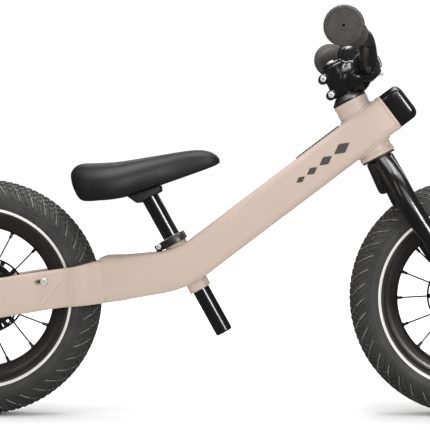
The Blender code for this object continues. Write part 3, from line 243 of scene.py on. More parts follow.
def castLinesGroup():
    # lines moulded round a tyre, read from its UV map: u once round the wheel, v across the section in turns; Shade
    # darkens them as painted shade in the grooves
    group, given, end, coords = newGroup(
        "castLines", {"Around": 240.0, "Across": 40.0, "Narrow": 0.6, "From": 0.1, "To": 0.27, "Depth": 0.0002,
                      "Dark": 0.5},
        {"Shade": "Float", "Height": "Float"})

    def product(first, second):
        return maths(group, "MULTIPLY", first, second)

    parts = nodeIn(group, "SeparateXYZ", {0: coords["UV"]}).outputs
    across = maths(group, "ABSOLUTE", parts["Y"])
    phase = maths(group, "ADD", product(parts["X"], given["Around"]), product(across, given["Across"]))
    wave = maths(group, "SINE", product(phase, 2 * math.pi))
    line = nodeIn(group, "MapRange", {"Value": wave, "From Min": given["Narrow"]}).outputs["Result"]
    within = product(maths(group, "GREATER_THAN", across, given["From"]),
                     maths(group, "LESS_THAN", across, given["To"]))
    mask = product(line, within)
    join(group, end, {"Shade": product(mask, given["Dark"]), "Height": product(product(mask, given["Depth"]), -1)})
    return group


mottle, smudge, fineGrain, hairScratches = mottleGroup(), smudgeGroup(), grainGroup(), scratchGroup()
castLines = castLinesGroup()
# near-black colour painted into the moulded grooves as their shade
grooveShadeColour = (0.009, 0.0085, 0.008, 1)
meshLines = {"Around": 210.0, "Across": 34.0, "Narrow": 0.35, "From": 0.055, "To": 0.262, "Depth": 0.00035,
             "Dark": 0.55}
slantLines = {"Around": 90.0, "Across": 15.0, "Narrow": 0.75, "From": 0.05, "To": 0.225, "Depth": 0.0006,
              "Dark": 0.75}
mouldedLines = (meshLines, {**meshLines, "Across": -34.0}, slantLines)


def addGroup(tree, group, **feeds):
    node = tree.nodes.new("ShaderNodeGroup")
    node.node_tree = group
    join(tree, node, feeds)
    return node.outputs


def finish(name, slot, colour, patch, dust=(0.5, 0.48, 0.45), dusty=0.1, patchScale=20.0, rough=(0.3, 0.4),
           grain=(900.0, 0.00003, 120.0), scratches=None, moulded=False, **plain):
    # a surface with patchy colour, drifting roughness and fine grain; plain values go on the shader's own sockets
    surface = bpy.data.materials.new(name)
    surface.use_nodes = True
    tree = surface.node_tree
    colour = addGroup(tree, mottle, Colour=(*colour, 1), Patch=(*patch, 1), Dust=(*dust, 1), Scale=patchScale,
                      Dusty=dusty)["Colour"]
    if scratches:
        gloss = addGroup(tree, hairScratches, Roughness=rough[0], Scratched=rough[1], Scale=scratches)
    else:
        gloss = addGroup(tree, smudge, Low=rough[0], High=rough[1])
    normal = addGroup(tree, fineGrain, Scale=grain[0], Depth=grain[1], Coarse=grain[2])["Normal"]
    if moulded:
        # moulded lines: grooves darkened with painted shade, and a bump
        height = 0.0
        for lines in mouldedLines:
            cut = addGroup(tree, castLines, **lines)
            colour = mixed(tree, cut["Shade"], colour, grooveShadeColour)
            height = maths(tree, "ADD", height, cut["Height"])
        normal = nodeIn(tree, "Bump", {"Distance": 1.0, "Height": height, "Normal": normal}).outputs["Normal"]
    join(tree, tree.nodes["Principled BSDF"], {
        "Base Color": colour, "Roughness": gloss["Roughness"], "Normal": normal,
        **{label.replace("_", " "): value for label, value in plain.items()}})
    return surface


rubberDust = (0.2, 0.19, 0.18)
beigePaint = finish("beigePaint", "frame_paint", (0.488, 0.391, 0.329), (0.482, 0.385, 0.323), dusty=0.03,
                    patchScale=9.0, rough=(0.38, 0.46), grain=(700.0, 0.000012, 90.0), Specular_IOR_Level=0.16)
blackGloss = finish("blackGloss", "gloss_black", (0.005, 0.005, 0.0055), (0.008, 0.0078, 0.008), dusty=0.01,
                    rough=(0.2, 0.3), scratches=50.0, grain=(500.0, 0.000006, 60.0), Coat_Weight=0.12,
                    Coat_Roughness=0.1)
capGloss = finish("capGloss", "black_cap", (0.006, 0.006, 0.0065), (0.009, 0.009, 0.009), dusty=0.015,
                  rough=(0.2, 0.32), scratches=40.0, grain=(900.0, 0.000008, 150.0))
blackSatin = finish("blackSatin", "satin_black", (0.009, 0.009, 0.0095), (0.014, 0.014, 0.0145), dusty=0.02,
                    rough=(0.26, 0.4), grain=(1200.0, 0.00002, 200.0))
rimSheen = finish("rimSheen", "rim", (0.020, 0.018, 0.0175), (0.03, 0.027, 0.026), dusty=0.05,
                  rough=(0.25, 0.4), grain=(1500.0, 0.00001, 80.0), Metallic=0.35)
hubBlack = finish("hubBlack", "hub", (0.011, 0.010, 0.010), (0.022, 0.02, 0.019), dusty=0.05,
                  rough=(0.25, 0.42), grain=(1200.0, 0.00001, 150.0), Metallic=0.3)
tyreRubber = finish("tyreRubber", "tyre", (0.027, 0.026, 0.0253), (0.043, 0.0413, 0.040), rubberDust, 0.3,
                    patchScale=34.0, rough=(0.6, 0.8), grain=(1400.0, 0.00012, 260.0), moulded=True)
treadRubber = finish("treadRubber", "tyre", (0.024, 0.023, 0.022), (0.042, 0.04, 0.038), rubberDust, 0.2,
                     patchScale=50.0, rough=(0.62, 0.82), grain=(1400.0, 0.00012, 260.0))
# the shoulder ribs are coloured light grey as painted highlight on their raised edges, with specks of dust
ribHighlightRubber = finish("ribHighlightRubber", "tyre", (0.24, 0.235, 0.225), (0.11, 0.107, 0.102), (0.4, 0.39, 0.37), 0.5,
                   patchScale=70.0, rough=(0.65, 0.8), grain=(1400.0, 0.0001, 260.0))
reflectStrip = finish("reflectStrip", "tyre", (0.86, 0.84, 0.81), (0.76, 0.74, 0.71), dusty=0.05,
                      rough=(0.35, 0.5), grain=(2500.0, 0.00003, 900.0))
gripRubber = finish("gripRubber", "grip_rubber", (0.027, 0.0253, 0.024), (0.042, 0.039, 0.0365), rubberDust, 0.25,
                    patchScale=90.0, rough=(0.55, 0.74), grain=(1100.0, 0.0005, 380.0))
saddleSkin = finish("saddleSkin", "saddle_skin", (0.0095, 0.0090, 0.0092), (0.0130, 0.0124, 0.0126),
                    (0.12, 0.12, 0.12),
                    0.015, rough=(0.42, 0.52), grain=(1600.0, 0.00005, 500.0), Specular_IOR_Level=0.17)
basePlastic = finish("basePlastic", "black_plastic", (0.009, 0.009, 0.0095), (0.014, 0.014, 0.0145), dusty=0.04,
                     rough=(0.5, 0.65), grain=(1500.0, 0.00008, 500.0))
sealRubber = finish("sealRubber", "seal_rubber", (0.010, 0.010, 0.0105), (0.016, 0.016, 0.016), dusty=0.06,
                    rough=(0.5, 0.65), grain=(1500.0, 0.00006, 500.0))
boltSilver = finish("boltSilver", "zinc_bolt", (0.88, 0.88, 0.89), (0.72, 0.72, 0.73), dusty=0.02,
                    rough=(0.18, 0.3), grain=(1500.0, 0.000008, 300.0), Metallic=0.4)
boltBlack = finish("boltBlack", "black_bolt", (0.02, 0.019, 0.019), (0.04, 0.038, 0.037), dusty=0.03,
                   rough=(0.28, 0.42), grain=(1500.0, 0.00001, 300.0), Metallic=0.6)
turnedSteel = finish("turnedSteel", "steel", (0.5, 0.5, 0.51), (0.4, 0.4, 0.41), dusty=0.02,
                     rough=(0.22, 0.35), grain=(1500.0, 0.00001, 500.0), Metallic=1.0)
markInk = finish("markInk", "seal_rubber", (0.036, 0.033, 0.034), (0.045, 0.042, 0.043), dusty=0.04,
                 rough=(0.35, 0.45))
print("materials ready")

# ---- tools for making pieces


def layAt(origin, along, across):
    along = along.normalized()
    side = along.cross(across).normalized()
    return Matrix.Translation(origin) @ Matrix((side.cross(along), side, along)).transposed().to_4x4()


def sectionAt(centre, along, wide, deep):
    # where a unit outline square to the line becomes one so wide across the bike and so deep
    return layAt(centre, along, lateral) @ Matrix.Diagonal((wide, deep, 1, 1))


def mirrored(profile):
    return [(radius, -height) for radius, height in reversed(profile)]


def moved(bm, turn):
    bmesh.ops.transform(bm, matrix=turn, verts=bm.verts)
    return bm


def vertsOf(made):
    return [g for g in made if isinstance(g, bmesh.types.BMVert)]


def bevelled(bm, geom, offset, segments, kind="EDGES", clamp=False):
    bmesh.ops.bevel(bm, geom=geom, offset=offset, segments=segments, profile=0.5, affect=kind, material=-1,
                    clamp_overlap=clamp)


def thickened(bm, shift):
    # give flat faces a second side, shifted from the first
    made = bmesh.ops.extrude_face_region(bm, geom=bm.faces[:])["geom"]
    bmesh.ops.translate(bm, vec=shift, verts=vertsOf(made))
    bmesh.ops.recalc_face_normals(bm, faces=bm.faces)


def turnedSheet(profile, steps, closed=False):
    # an outline of radii and heights carried once round the z axis
    bm = bmesh.new()
    points = [bm.verts.new((radius, 0, height)) for radius, height in profile]
    edges = [bm.edges.new(pair) for pair in zip(points, points[1:] + points[:1] if closed else points[1:])]
    bmesh.ops.spin(bm, geom=points + edges, axis=(0, 0, 1), cent=(0, 0, 0), angle=2 * math.pi, steps=steps,
                   use_merge=True)
    bmesh.ops.remove_doubles(bm, verts=bm.verts, dist=0.001)
    return bm


def spun(profile, steps, turn, closed=True):
    bm = turnedSheet(profile, steps, closed)
    bmesh.ops.recalc_face_normals(bm, faces=bm.faces)
    return moved(bm, turn)


def soften(bm, offset, segments=2, sharper=30):
    edges = [e for e in bm.edges if len(e.link_faces) == 2 and e.calc_face_angle(0) > math.radians(sharper)]
    bevelled(bm, edges, offset, segments, clamp=True)
    return bm


def boxAt(low, high, turn, bevel=0, segments=3):
    bm = bmesh.new()
    bmesh.ops.create_cube(bm, size=1)
    low, high = Vector(low), Vector(high)
    bmesh.ops.scale(bm, vec=high - low, verts=bm.verts)
    bmesh.ops.translate(bm, vec=(low + high) / 2, verts=bm.verts)
    if bevel:
        bevelled(bm, bm.edges[:], bevel, segments)
    return moved(bm, turn)


def rodAt(start, end, radius, facets=32, bevel=0):
    bm = bmesh.new()
    run = end - start
    bmesh.ops.create_cone(bm, cap_ends=True, segments=facets, radius1=radius, radius2=radius, depth=run.length)
    if bevel:
        soften(bm, bevel)
    turn = run.to_track_quat("Z", "Y").to_matrix().to_4x4()
    return moved(bm, Matrix.Translation((start + end) / 2) @ turn)


def crossRod(centre, half, radius, facets=32, bevel=0):
    # a rod straight across the bike
    return rodAt(centre - lateral * half, centre + lateral * half, radius, facets, bevel)


def carried(bm, places):
    # carry the loops already in the mesh through each place in turn, and give the first and last of them
    first = ring = bm.edges[:]
    moved(bm, places[0])
    for before, after in zip(places, places[1:]):
        made = bmesh.ops.extrude_edge_only(bm, edges=ring)["geom"]
        ring = [g for g in made if isinstance(g, bmesh.types.BMEdge)]
        bmesh.ops.transform(bm, matrix=after @ before.inverted(), verts=vertsOf(made))
    return first, ring


def extruded(bm, places):
    for loop in carried(bm, places):
        bmesh.ops.contextual_create(bm, geom=loop)
    bmesh.ops.recalc_face_normals(bm, faces=bm.faces)
    return bm


def roundedLoop(wide, deep, corner, segments):
    # outline with rounded corners, brought back to a unit square
    bm = bmesh.new()
    bmesh.ops.create_grid(bm, x_segments=1, y_segments=1, size=0.5)
    bmesh.ops.scale(bm, vec=(wide, deep, 1), verts=bm.verts)
    bevelled(bm, bm.verts[:], corner, segments, "VERTICES")
    bmesh.ops.delete(bm, geom=bm.faces[:], context="FACES_ONLY")
    bmesh.ops.scale(bm, vec=(1 / wide, 1 / deep, 1), verts=bm.verts)
    return bm


def swept(path, radii, facets=24):
    bm = bmesh.new()
    bmesh.ops.create_circle(bm, cap_ends=False, segments=facets, radius=1)
    places = []
    for i, (point, radius) in enumerate(zip(path, radii)):
        along = path[min(i + 1, len(path) - 1)] - path[max(i - 1, 0)]
        across = Vector((1, 0, 0)) if abs(along.normalized().x) < 0.9 else Vector((0, 0, 1))
        places.append(layAt(point, along, across) @ Matrix.Diagonal((radius, radius, 1, 1)))
    return extruded(bm, places)


def hoop(path, radius, facets=10):
    # a closed bead along a loop of points
    bm = bmesh.new()
    bmesh.ops.create_circle(bm, cap_ends=False, segments=facets, radius=radius)
    middle = sum(path, Vector()) / len(path)
    places = [layAt(point, after - before, point - middle)
              for before, point, after in zip(path[-1:] + path, path, path[1:] + path[:1])]
    first, last = carried(bm, places)
    bmesh.ops.bridge_loops(bm, edges=first + last)
    bmesh.ops.recalc_face_normals(bm, faces=bm.faces)
    return bm


def smoothLine(points, steps):
    # points on a smooth curve through the given ones
    line = [2 * points[0] - points[1], *points, 2 * points[-1] - points[-2]]
    out = []
    for a, b, c, d in zip(line, line[1:], line[2:], line[3:]):
        for step in range(steps):
            t = step / steps
            bend = (2 * a - 5 * b + 4 * c - d) * t ** 2 + (3 * b - a - 3 * c + d) * t ** 3
            out.append(0.5 * (2 * b + (c - a) * t + bend))
    return out + [points[-1]]


def merge(shapes):
    whole = bmesh.new()
    for shape in shapes:
        spare = bpy.data.meshes.new("spare")
        shape.to_mesh(spare)
        shape.free()
        whole.from_mesh(spare)
        bpy.data.meshes.remove(spare)
    return whole


def modified(bm, kind, tool=None, **settings):
    # run one modifier on a mesh and take its result back
    things = []
    for shape in filter(None, (bm, tool)):
        mesh = bpy.data.meshes.new("work")
        shape.to_mesh(mesh)
        shape.free()
        things.append(linked("work", mesh))
    step = things[0].modifiers.new("step", kind)
    if tool is not None:
        step.object = things[1]
    for label, value in settings.items():
        setattr(step, label, value)
    graph = bpy.context.evaluated_depsgraph_get()
    made = bmesh.new()
    made.from_mesh(things[0].evaluated_get(graph).to_mesh())
    for spare in things:
        data = spare.data
        bpy.data.objects.remove(spare)
        bpy.data.meshes.remove(data)
    return made


def fused(shapes, voxel, rounds=4):
    # melt overlapping shapes into one skin with soft joins, as a forging or a weld has
    bm = modified(merge(shapes), "REMESH", mode="VOXEL", voxel_size=voxel, use_smooth_shade=True)
    for _ in range(rounds):
        bmesh.ops.smooth_vert(bm, verts=bm.verts, factor=0.5, use_axis_x=True, use_axis_y=True, use_axis_z=True)
    return bm


def carved(bm, *tools):
    for tool in tools:
        bm = modified(bm, "BOOLEAN", tool=tool, operation="DIFFERENCE", solver="EXACT")
    return bm


def place(name, bm, material, body, *replaced, slot=None, sharp=40, recalc=False, subdivide=0):
    # turn a shape in millimetres into a piece in metres on its body
    bmesh.ops.scale(bm, vec=(mm, mm, mm), verts=bm.verts)
    if recalc:
        bmesh.ops.recalc_face_normals(bm, faces=bm.faces)
    mesh = bpy.data.meshes.new(name)
    bm.to_mesh(mesh)
    bm.free()
    mesh.shade_smooth()
    if sharp:
        mesh.set_sharp_from_angle(angle=math.radians(sharp))
    mesh.materials.append(material)
    piece = linked(name, mesh)
    if subdivide:
        step = piece.modifiers.new("smooth", "SUBSURF")
        step.levels = step.render_levels = subdivide
    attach(piece, body)
    if replaced:
        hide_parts(*replaced)
    return piece


def socketScrew(name, seat, outward, body, replaced, head, height, shank, length, material, dome=False, key=None):
    # socket screw whose head's underside is at seat, with a hexagon key hole
    across = steerUp if abs(outward.y) > 0.5 else lateral
    turn = layAt(seat, outward, across)
    if dome:
        crown = [(head, height * 0.55), (head * 0.86, height * 0.92), (head * 0.6, height)]
    else:
        crown = [(head, height - 0.5), (head - 0.25, height - 0.15), (head - 0.6, height)]
    profile = [(0, -length), (shank * 0.85, -length), (shank, -length + shank * 0.3), (shank, 0), (head, 0), *crown,
               (0, height)]
    key = key or head * 0.48
    hexagon = bmesh.new()
    bmesh.ops.create_cone(hexagon, cap_ends=True, segments=6, radius1=key, radius2=key, depth=height * 1.4)
    moved(hexagon, turn @ Matrix.Translation((0, 0, height)))
    place(name, carved(spun(profile, 32, turn, closed=False), hexagon), material, body, replaced, sharp=35)


# ---- wheels

wheel = {"outer": 151.5, "section": 25.0, "casing": 23.5, "facets": 120,
         "beadRadius": 101.5, "rimEdge": 107.0, "rimInside": 89.5, "rimHalf": 16.0}
tread = {"count": 108, "high": 1.15, "long": 4.4, "wide": 4.8,
         "rows": ((0, 0.0), (15, 0.5), (-15, 0.5), (30, 0.0), (-30, 0.0), (45, 0.5), (-45, 0.5))}
rib = {"count": 45, "fromAngle": 21, "toAngle": 74, "slant": 7.2, "wide": 1.25, "high": 0.5}
stripShape = {"fromAngle": 118.5, "toAngle": 129.5, "proud": 0.35}


def sectionPoint(angle, radius):
    turn = math.radians(angle)
    middle = wheel["outer"] - wheel["section"]
    return middle + radius * math.cos(turn), radius * math.sin(turn)


def tyreProfile():
    # closed outline of the casing: crown, sidewalls with fine ribs by the rim, beads and lining
    casing = wheel["casing"]
    shoulder = wheel["rimHalf"] - 2.5
    outside = []
    angle = -133.0
    while angle < 133.1:
        ripple = 0.0
        if 101 < abs(angle) < 118 or 128.5 < abs(angle) < 133:
            ripple = 0.28 if round(angle / 1.9) % 2 else -0.1
        outside.append(sectionPoint(angle, casing + ripple))
        angle += 1.9 if abs(angle) > 98 else 4.0
    lining = [sectionPoint(angle, casing - 3) for angle in range(96, -97, -16)]
    foot = wheel["beadRadius"] + 2
    right = [(108.2, shoulder), (foot, shoulder), (foot, shoulder - 4)]
    return outside + right + lining + mirrored(right)


def wrapOnTyre(bm, verts, section, middleAngle):
    # local x runs round the wheel, y across the section, z outward from the casing
    for vert in verts:
        angle = middleAngle + math.degrees(vert.co.y / section)
        radius, height = sectionPoint(angle, section + vert.co.z)
        turn = vert.co.x / radius
        vert.co = Vector((radius * math.cos(turn), radius * math.sin(turn), height))


def arrayRound(bm, count):
    bmesh.ops.spin(bm, geom=bm.faces[:] + bm.edges[:] + bm.verts[:], axis=(0, 0, 1), cent=(0, 0, 0),
                   angle=2 * math.pi * (count - 1) / count, steps=count - 1, use_duplicate=True)
    return bm


def treadBlocks():
    rows = []
    pitch = 2 * math.pi / tread["count"]
    for number, (angle, stagger) in enumerate(tread["rows"]):
        bm = bmesh.new()
        bmesh.ops.create_cube(bm, size=1)
        bmesh.ops.scale(bm, vec=(tread["long"], tread["wide"], tread["high"] + 1.2), verts=bm.verts)
        bmesh.ops.subdivide_edges(bm, edges=[e for e in bm.edges if abs((e.verts[0].co - e.verts[1].co).y) > 1],
                                  cuts=1)
        for vert in bm.verts:
            vert.co.x += abs(vert.co.y) * 0.5 if number == 0 else vert.co.y * (0.4 if angle > 0 else -0.4)
        bmesh.ops.scale(bm, vec=(0.72, 0.84, 1), verts=[v for v in bm.verts if v.co.z > 0])
        bmesh.ops.translate(bm, vec=(0, 0, (tread["high"] - 1.2) / 2), verts=bm.verts)
        wrapOnTyre(bm, bm.verts, wheel["casing"], angle)
        bmesh.ops.rotate(bm, cent=(0, 0, 0), matrix=Matrix.Rotation(pitch * stagger, 3, "Z"), verts=bm.verts)
        rows.append(arrayRound(bm, tread["count"]))
    return merge(rows)


def shoulderRibs():
    # slanting ribs over both shoulders
    sides = []
    casing = wheel["casing"]
    middle = (rib["toAngle"] + rib["fromAngle"]) / 2
    long = math.radians(rib["toAngle"] - rib["fromAngle"]) * casing
    for side in (1, -1):
        bm = bmesh.new()
        bmesh.ops.create_cube(bm, size=1)
        bmesh.ops.scale(bm, vec=(rib["wide"], long, rib["high"] + 1), verts=bm.verts)
        bmesh.ops.subdivide_edges(bm, edges=[e for e in bm.edges if abs((e.verts[0].co - e.verts[1].co).y) > 1],
                                  cuts=6)
        for vert in bm.verts:
            share = vert.co.y / long * side
            vert.co.x += -share * math.radians(rib["slant"]) * wheel["outer"] + 2 * share * share
        bmesh.ops.translate(bm, vec=(0, 0, (rib["high"] - 1) / 2), verts=bm.verts)
        wrapOnTyre(bm, bm.verts, casing, middle * side)
        sides.append(arrayRound(bm, rib["count"]))
    return merge(sides)


def mapTyre(bm):
    # u once round the wheel, v the angle across the section in turns
    middle = wheel["outer"] - wheel["section"]
    layer = bm.loops.layers.uv.new("wheelMap")
    for face in bm.faces:
        centre = face.calc_center_median()
        base = math.atan2(centre.y, centre.x)
        for loop in face.loops:
            point = loop.vert.co
            turn = math.atan2(point.y, point.x) - base
            turn = (turn + math.pi) % (2 * math.pi) - math.pi
            across = math.atan2(point.z, math.hypot(point.x, point.y) - middle)
            loop[layer].uv = ((base + turn) / (2 * math.pi), across / (2 * math.pi))


def sidewallStrips():
    rings = []
    casing = wheel["casing"]
    for side in (1, -1):
        outline = []
        for share in (0, 0.12, 0.5, 0.88, 1):
            angle = stripShape["fromAngle"] + (stripShape["toAngle"] - stripShape["fromAngle"]) * share
            lift = stripShape["proud"] if 0 < share < 1 else 0.0
            outline.append(sectionPoint(angle * side, casing + lift))
        outline += [sectionPoint(stripShape[k] * side, casing - 0.8) for k in ("toAngle", "fromAngle")]
        rings.append(spun(outline, wheel["facets"], Matrix.Identity(4)))
    return merge(rings)


def rimProfile():
    edge, inside, half = wheel["rimEdge"], wheel["rimInside"], wheel["rimHalf"]
    outer = [(edge - 0.4, half - 2.2), (edge, half - 1.6), (edge, half - 0.5), (edge - 0.6, half),
             (edge - 5.6, half - 0.1),
             (edge - 7.2, half - 1.2), (inside + 4.5, half - 3.4), (inside + 1.6, half - 6.2), (inside, half - 9.5)]
    well = [(96.5, 6.4), (98.5, 9.0), (101.5, half - 2.2)]
    return outer + mirrored(outer) + mirrored(well) + well


hub = {"barrel": 16.5, "flange": 49.0, "flangeAt": 22.0, "flangeThick": 2.6, "windowIn": 40.5, "windowOut": 46.6,
       "length": 62.0, "spokes": 16, "spokeFoot": 44.0, "spokeWide": 1.05, "nippleWide": 2.0, "nippleLong": 7.5}


def hubFlange(side, phase, turn):
    # round plate with a window between each pair of spokes
    count = hub["spokes"]
    radii = (12, 27, hub["windowIn"], hub["windowOut"], hub["flange"])
    bm = turnedSheet([(radius, 0) for radius in radii], count * 6)
    gone = []
    for face in bm.faces:
        middle = face.calc_center_median()
        share = (math.atan2(middle.y, middle.x) / (2 * math.pi / count)) % 1
        if hub["windowIn"] < middle.length < hub["windowOut"] and 0.2 < share < 0.8:
            gone.append(face)
    bmesh.ops.delete(bm, geom=gone, context="FACES")
    thickened(bm, (0, 0, hub["flangeThick"]))
    soften(bm, 0.35, 1)
    lift = Matrix.Translation((0, 0, side * hub["flangeAt"] - hub["flangeThick"] / 2))
    return moved(bm, turn @ lift @ Matrix.Rotation(phase, 4, "Z"))


def hubShell(turn):
    half, barrel, at = hub["length"] / 2, hub["barrel"], hub["flangeAt"]
    side = [(13.4, half - 8), (13.4, half - 0.8), (14.2, half), (barrel - 0.8, half), (barrel, half - 0.8),
            (barrel, at + 3.5), (barrel + 3.5, at + 1.2), (barrel + 3.5, at - 1.2), (barrel, at - 4)]
    return spun(side + mirrored(side), 64, turn)


def spokeShapes(axle, angle, towards):
    # one spoke with its bent head at the flange, its nipple and the collar round the nipple at the rim
    out = Vector((math.cos(angle), 0, math.sin(angle)))
    foot = axle + out * hub["spokeFoot"] + towards * hub["flangeAt"]
    tip = axle + out * (wheel["rimInside"] + 1.5) + towards * 3
    run = (tip - foot).normalized()
    return [rodAt(foot - run, tip, hub["spokeWide"], 10),
            rodAt(foot - towards * 2.2, foot + towards * 2.4, 1.7, 12, 0.5),
            rodAt(tip - run * (hub["nippleLong"] + 1.5), tip, hub["nippleWide"], 12, 0.4),
            rodAt(tip - run * 2.6, tip, 3.0, 16, 0.6)]


def makeWheel(prefix, axle, phase):
    body = f"{prefix}_wheel"
    turn = layAt(axle, -lateral, Vector((1, 0, 0)))   # local z towards the rider's right
    casing = spun(tyreProfile(), wheel["facets"], Matrix.Identity(4))
    mapTyre(casing)
    place(f"{prefix}TyreCasing", moved(casing, turn), tyreRubber, body, f"{prefix}_tyre", sharp=50)
    place(f"{prefix}TyreTread", moved(treadBlocks(), turn), treadRubber, body, sharp=30, recalc=True)
    # the ribs' light grey is painted highlight
    place(f"{prefix}TyreRibs", moved(shoulderRibs(), turn), ribHighlightRubber, body, sharp=30, recalc=True)
    place(f"{prefix}TyreStrips", moved(sidewallStrips(), turn), reflectStrip, body, sharp=60)
    place(f"{prefix}Rim", soften(spun(rimProfile(), wheel["facets"], turn), 0.25, 1, 50), rimSheen, body,
          f"{prefix}_rim")
    shapes = [hubShell(turn), hubFlange(1, phase, turn), hubFlange(-1, phase, turn)]
    for number in range(hub["spokes"]):
        shapes += spokeShapes(axle, phase + 2 * math.pi * number / hub["spokes"], (-1 if number % 2 else 1) * lateral)
    place(f"{prefix}HubAndSpokes", merge(shapes), hubBlack, body, f"{prefix}_hub_and_spokes")
    outline = [(5.6, 0), (5.6, 7.4), (6.1, 8), (8.4, 8), (8.6, 7.7), (11.4, 7.7), (11.6, 8), (12.5, 8), (13, 7.4),
               (13, 0)]
    for end, word in ends:
        ring = spun(outline, 48, layAt(axle + lateral * end * (hub["length"] / 2 - 8), lateral * end,
                                       Vector((1, 0, 0))))
        place(f"{prefix}Bearing{word.capitalize()}", ring, turnedSteel, body, f"{prefix}_bearing_{word}", sharp=30)
    frame["nodes"][f"{prefix}_inner_tube"].data.materials.clear()
    frame["nodes"][f"{prefix}_inner_tube"].data.materials.append(sealRubber)
    print(prefix, "wheel made")


makeWheel("front", frontAxle, math.radians(1.2))
makeWheel("rear", rearAxle, math.radians(-1.6))

# ---- frame

beam = {"wide": 52.0, "deepRear": 58.0, "deepFront": 48.7, "corner": 10.5, "tiltFront": 37.1, "tiltRear": 7.4,
        "bend": 115.0, "onHead": 37.0, "pastHead": 38.5, "aboveAxle": 21.9, "behindTyre": 2.5, "yokeLong": 10.8}
headShape = {"long": 80.0, "wide": 44.5, "lip": 1.0, "lipHigh": 5.5}
seatShape = {"forward": 9.3, "below": 33.9, "above": 42.5, "tube": 29.0, "postWide": 22.2, "postAbove": 100.7,
             "postBelow": 95.3, "inBracket": 8.0}

beamFront = Vector((math.cos(math.radians(beam["tiltFront"])), 0, math.sin(math.radians(beam["tiltFront"]))))
beamRear = Vector((math.cos(math.radians(beam["tiltRear"])), 0, math.sin(math.radians(beam["tiltRear"]))))
frontRise = Vector((-beamFront.z, 0, beamFront.x))
rearRise = Vector((-beamRear.z, 0, beamRear.x))
beamAtHead = headLow + beam["onHead"] * steerUp
beamNose = beamAtHead + beam["pastHead"] * beamFront
yokeBack = Vector((rearAxle.x + wheel["outer"] + beam["behindTyre"], 0, rearAxle.z + beam["aboveAxle"]))
beamTail = yokeBack + beam["yokeLong"] * beamRear


def crossing(pointA, alongA, pointB, alongB):
    gap = pointB - pointA
    turn = alongA.x * alongB.z - alongA.z * alongB.x
    return pointA + alongA * ((gap.x * alongB.z - gap.z * alongB.x) / turn)


beamElbow = crossing(beamTail, beamRear, beamNose, beamFront)
seatCentre = beamElbow + seatShape["forward"] * seatForward
postHead = seatCentre + seatShape["postAbove"] * seatUp


def beamStations():
    # centre, tilt and depth along the beam, close together through the bend
    turn = math.radians(beam["tiltFront"] - beam["tiltRear"])
    start = beamElbow - beam["bend"] * math.tan(turn / 2) * beamRear
    middle = start + beam["bend"] * rearRise
    tilt = math.radians(beam["tiltRear"])
    stations = [(beamTail + (start - beamTail) * share, tilt, 0.5 * share) for share in (0, 0.33, 0.66)]
    steps = 14
    for share in (step / steps for step in range(steps + 1)):
        lean = tilt + turn * share
        down = Vector((math.sin(lean), 0, -math.cos(lean)))
        stations.append((middle + beam["bend"] * down, lean, 0.5 + 0.4 * share))
    end = stations[-1][0]
    lean = tilt + turn
    for share in (0.1, 0.3, 0.5, 0.7, 0.9, 1.0):
        stations.append((end + (beamNose - end) * share, lean, 0.9 + 0.1 * share))
    return stations


def makeBeam():
    bm = roundedLoop(1, 1, beam["corner"] / beam["wide"], 8)
    places = []
    for centre, lean, share in beamStations():
        along = Vector((math.cos(lean), 0, math.sin(lean)))
        deep = beam["deepRear"] + (beam["deepFront"] - beam["deepRear"]) * share
        places.append(sectionAt(centre, along, beam["wide"], deep))
    extruded(bm, places)
    bevelled(bm, [e for f in bm.faces if len(f.verts) > 8 for e in f.edges], 0.8, 2)
    place("mainBeam", bm, beigePaint, "frame", "main_beam")
    lip = roundedLoop(1, 1, beam["corner"] / beam["wide"], 8)
    places = []
    for back, grow in ((5.0, -0.4), (4.2, 1.1), (1.0, 1.3), (0.0, 0.7), (0.0, -4.0)):
        size = Matrix.Diagonal((beam["wide"] + grow, beam["deepFront"] + grow, 1, 1))
        places.append(layAt(beamNose - back * beamFront, beamFront, lateral) @ size)
    place("beamLip", extruded(lip, places), beigePaint, "frame", sharp=50)


def beamTopAt(y):
    # height of the beam's front part above its middle line at a lateral place
    flat = beam["wide"] / 2 - beam["corner"]
    deep = beam["deepFront"] / 2 + 0.3
    over = max(0.0, abs(y) - flat)
    return deep - beam["corner"] + math.sqrt(max(0.0, beam["corner"] ** 2 - over ** 2))


def weldLoop(centre, tubeUp, tubeForward, radius, rise, side):
    # where a round tube leaves the beam's upper or lower face
    points = []
    for step in range(72):
        angle = 2 * math.pi * step / 72
        y = radius * math.sin(angle)
        forward = radius * math.cos(angle)
        height = (side * beamTopAt(y) - forward * tubeForward.dot(rise)) / tubeUp.dot(rise)
        points.append(centre + tubeUp * height + tubeForward * forward + lateral * y)
    return points


def makeHead():
    body, top = headShape["wide"] / 2, headShape["long"]
    lip = body + headShape["lip"]
    profile = [(17, 7.5), (20.5, 7.5), (20.5, 0), (lip - 0.6, 0), (lip, 0.6), (lip, headShape["lipHigh"] - 0.6),
               (lip - 0.4, headShape["lipHigh"]), (body, headShape["lipHigh"] + 0.5), (body, top - 5.4),
               (body + 0.5, top - 4.8), (body + 0.5, top - 0.6), (body, top), (20.5, top), (20.5, top - 7.5),
               (17, top - 7.5)]
    tube = spun(profile, 96, layAt(headLow, steerUp, lateral))
    place("headTube", tube, beigePaint, "frame", "head_tube", sharp=35)
    welds = [hoop(weldLoop(beamAtHead, steerUp, steerForward, body + 0.7, frontRise, side), 1.9) for side in (1, -1)]
    place("headWelds", merge(welds), beigePaint, "frame", sharp=0)
    for word, at in (("Lower", 0.3), ("Upper", top - 7.2)):
        outline = [(14.8, 0), (14.8, 6.4), (15.3, 6.9), (17, 6.9), (17.2, 6.5), (18.6, 6.5), (18.8, 6.9), (19.8, 6.9),
                   (20.2, 6.4), (20.2, 0)]
        ring = spun(outline, 48, layAt(headLow + at * steerUp, steerUp, lateral))
        place(f"headsetBearing{word}", ring, turnedSteel, "frame", f"headset_bearing_{word.lower()}", sharp=30)


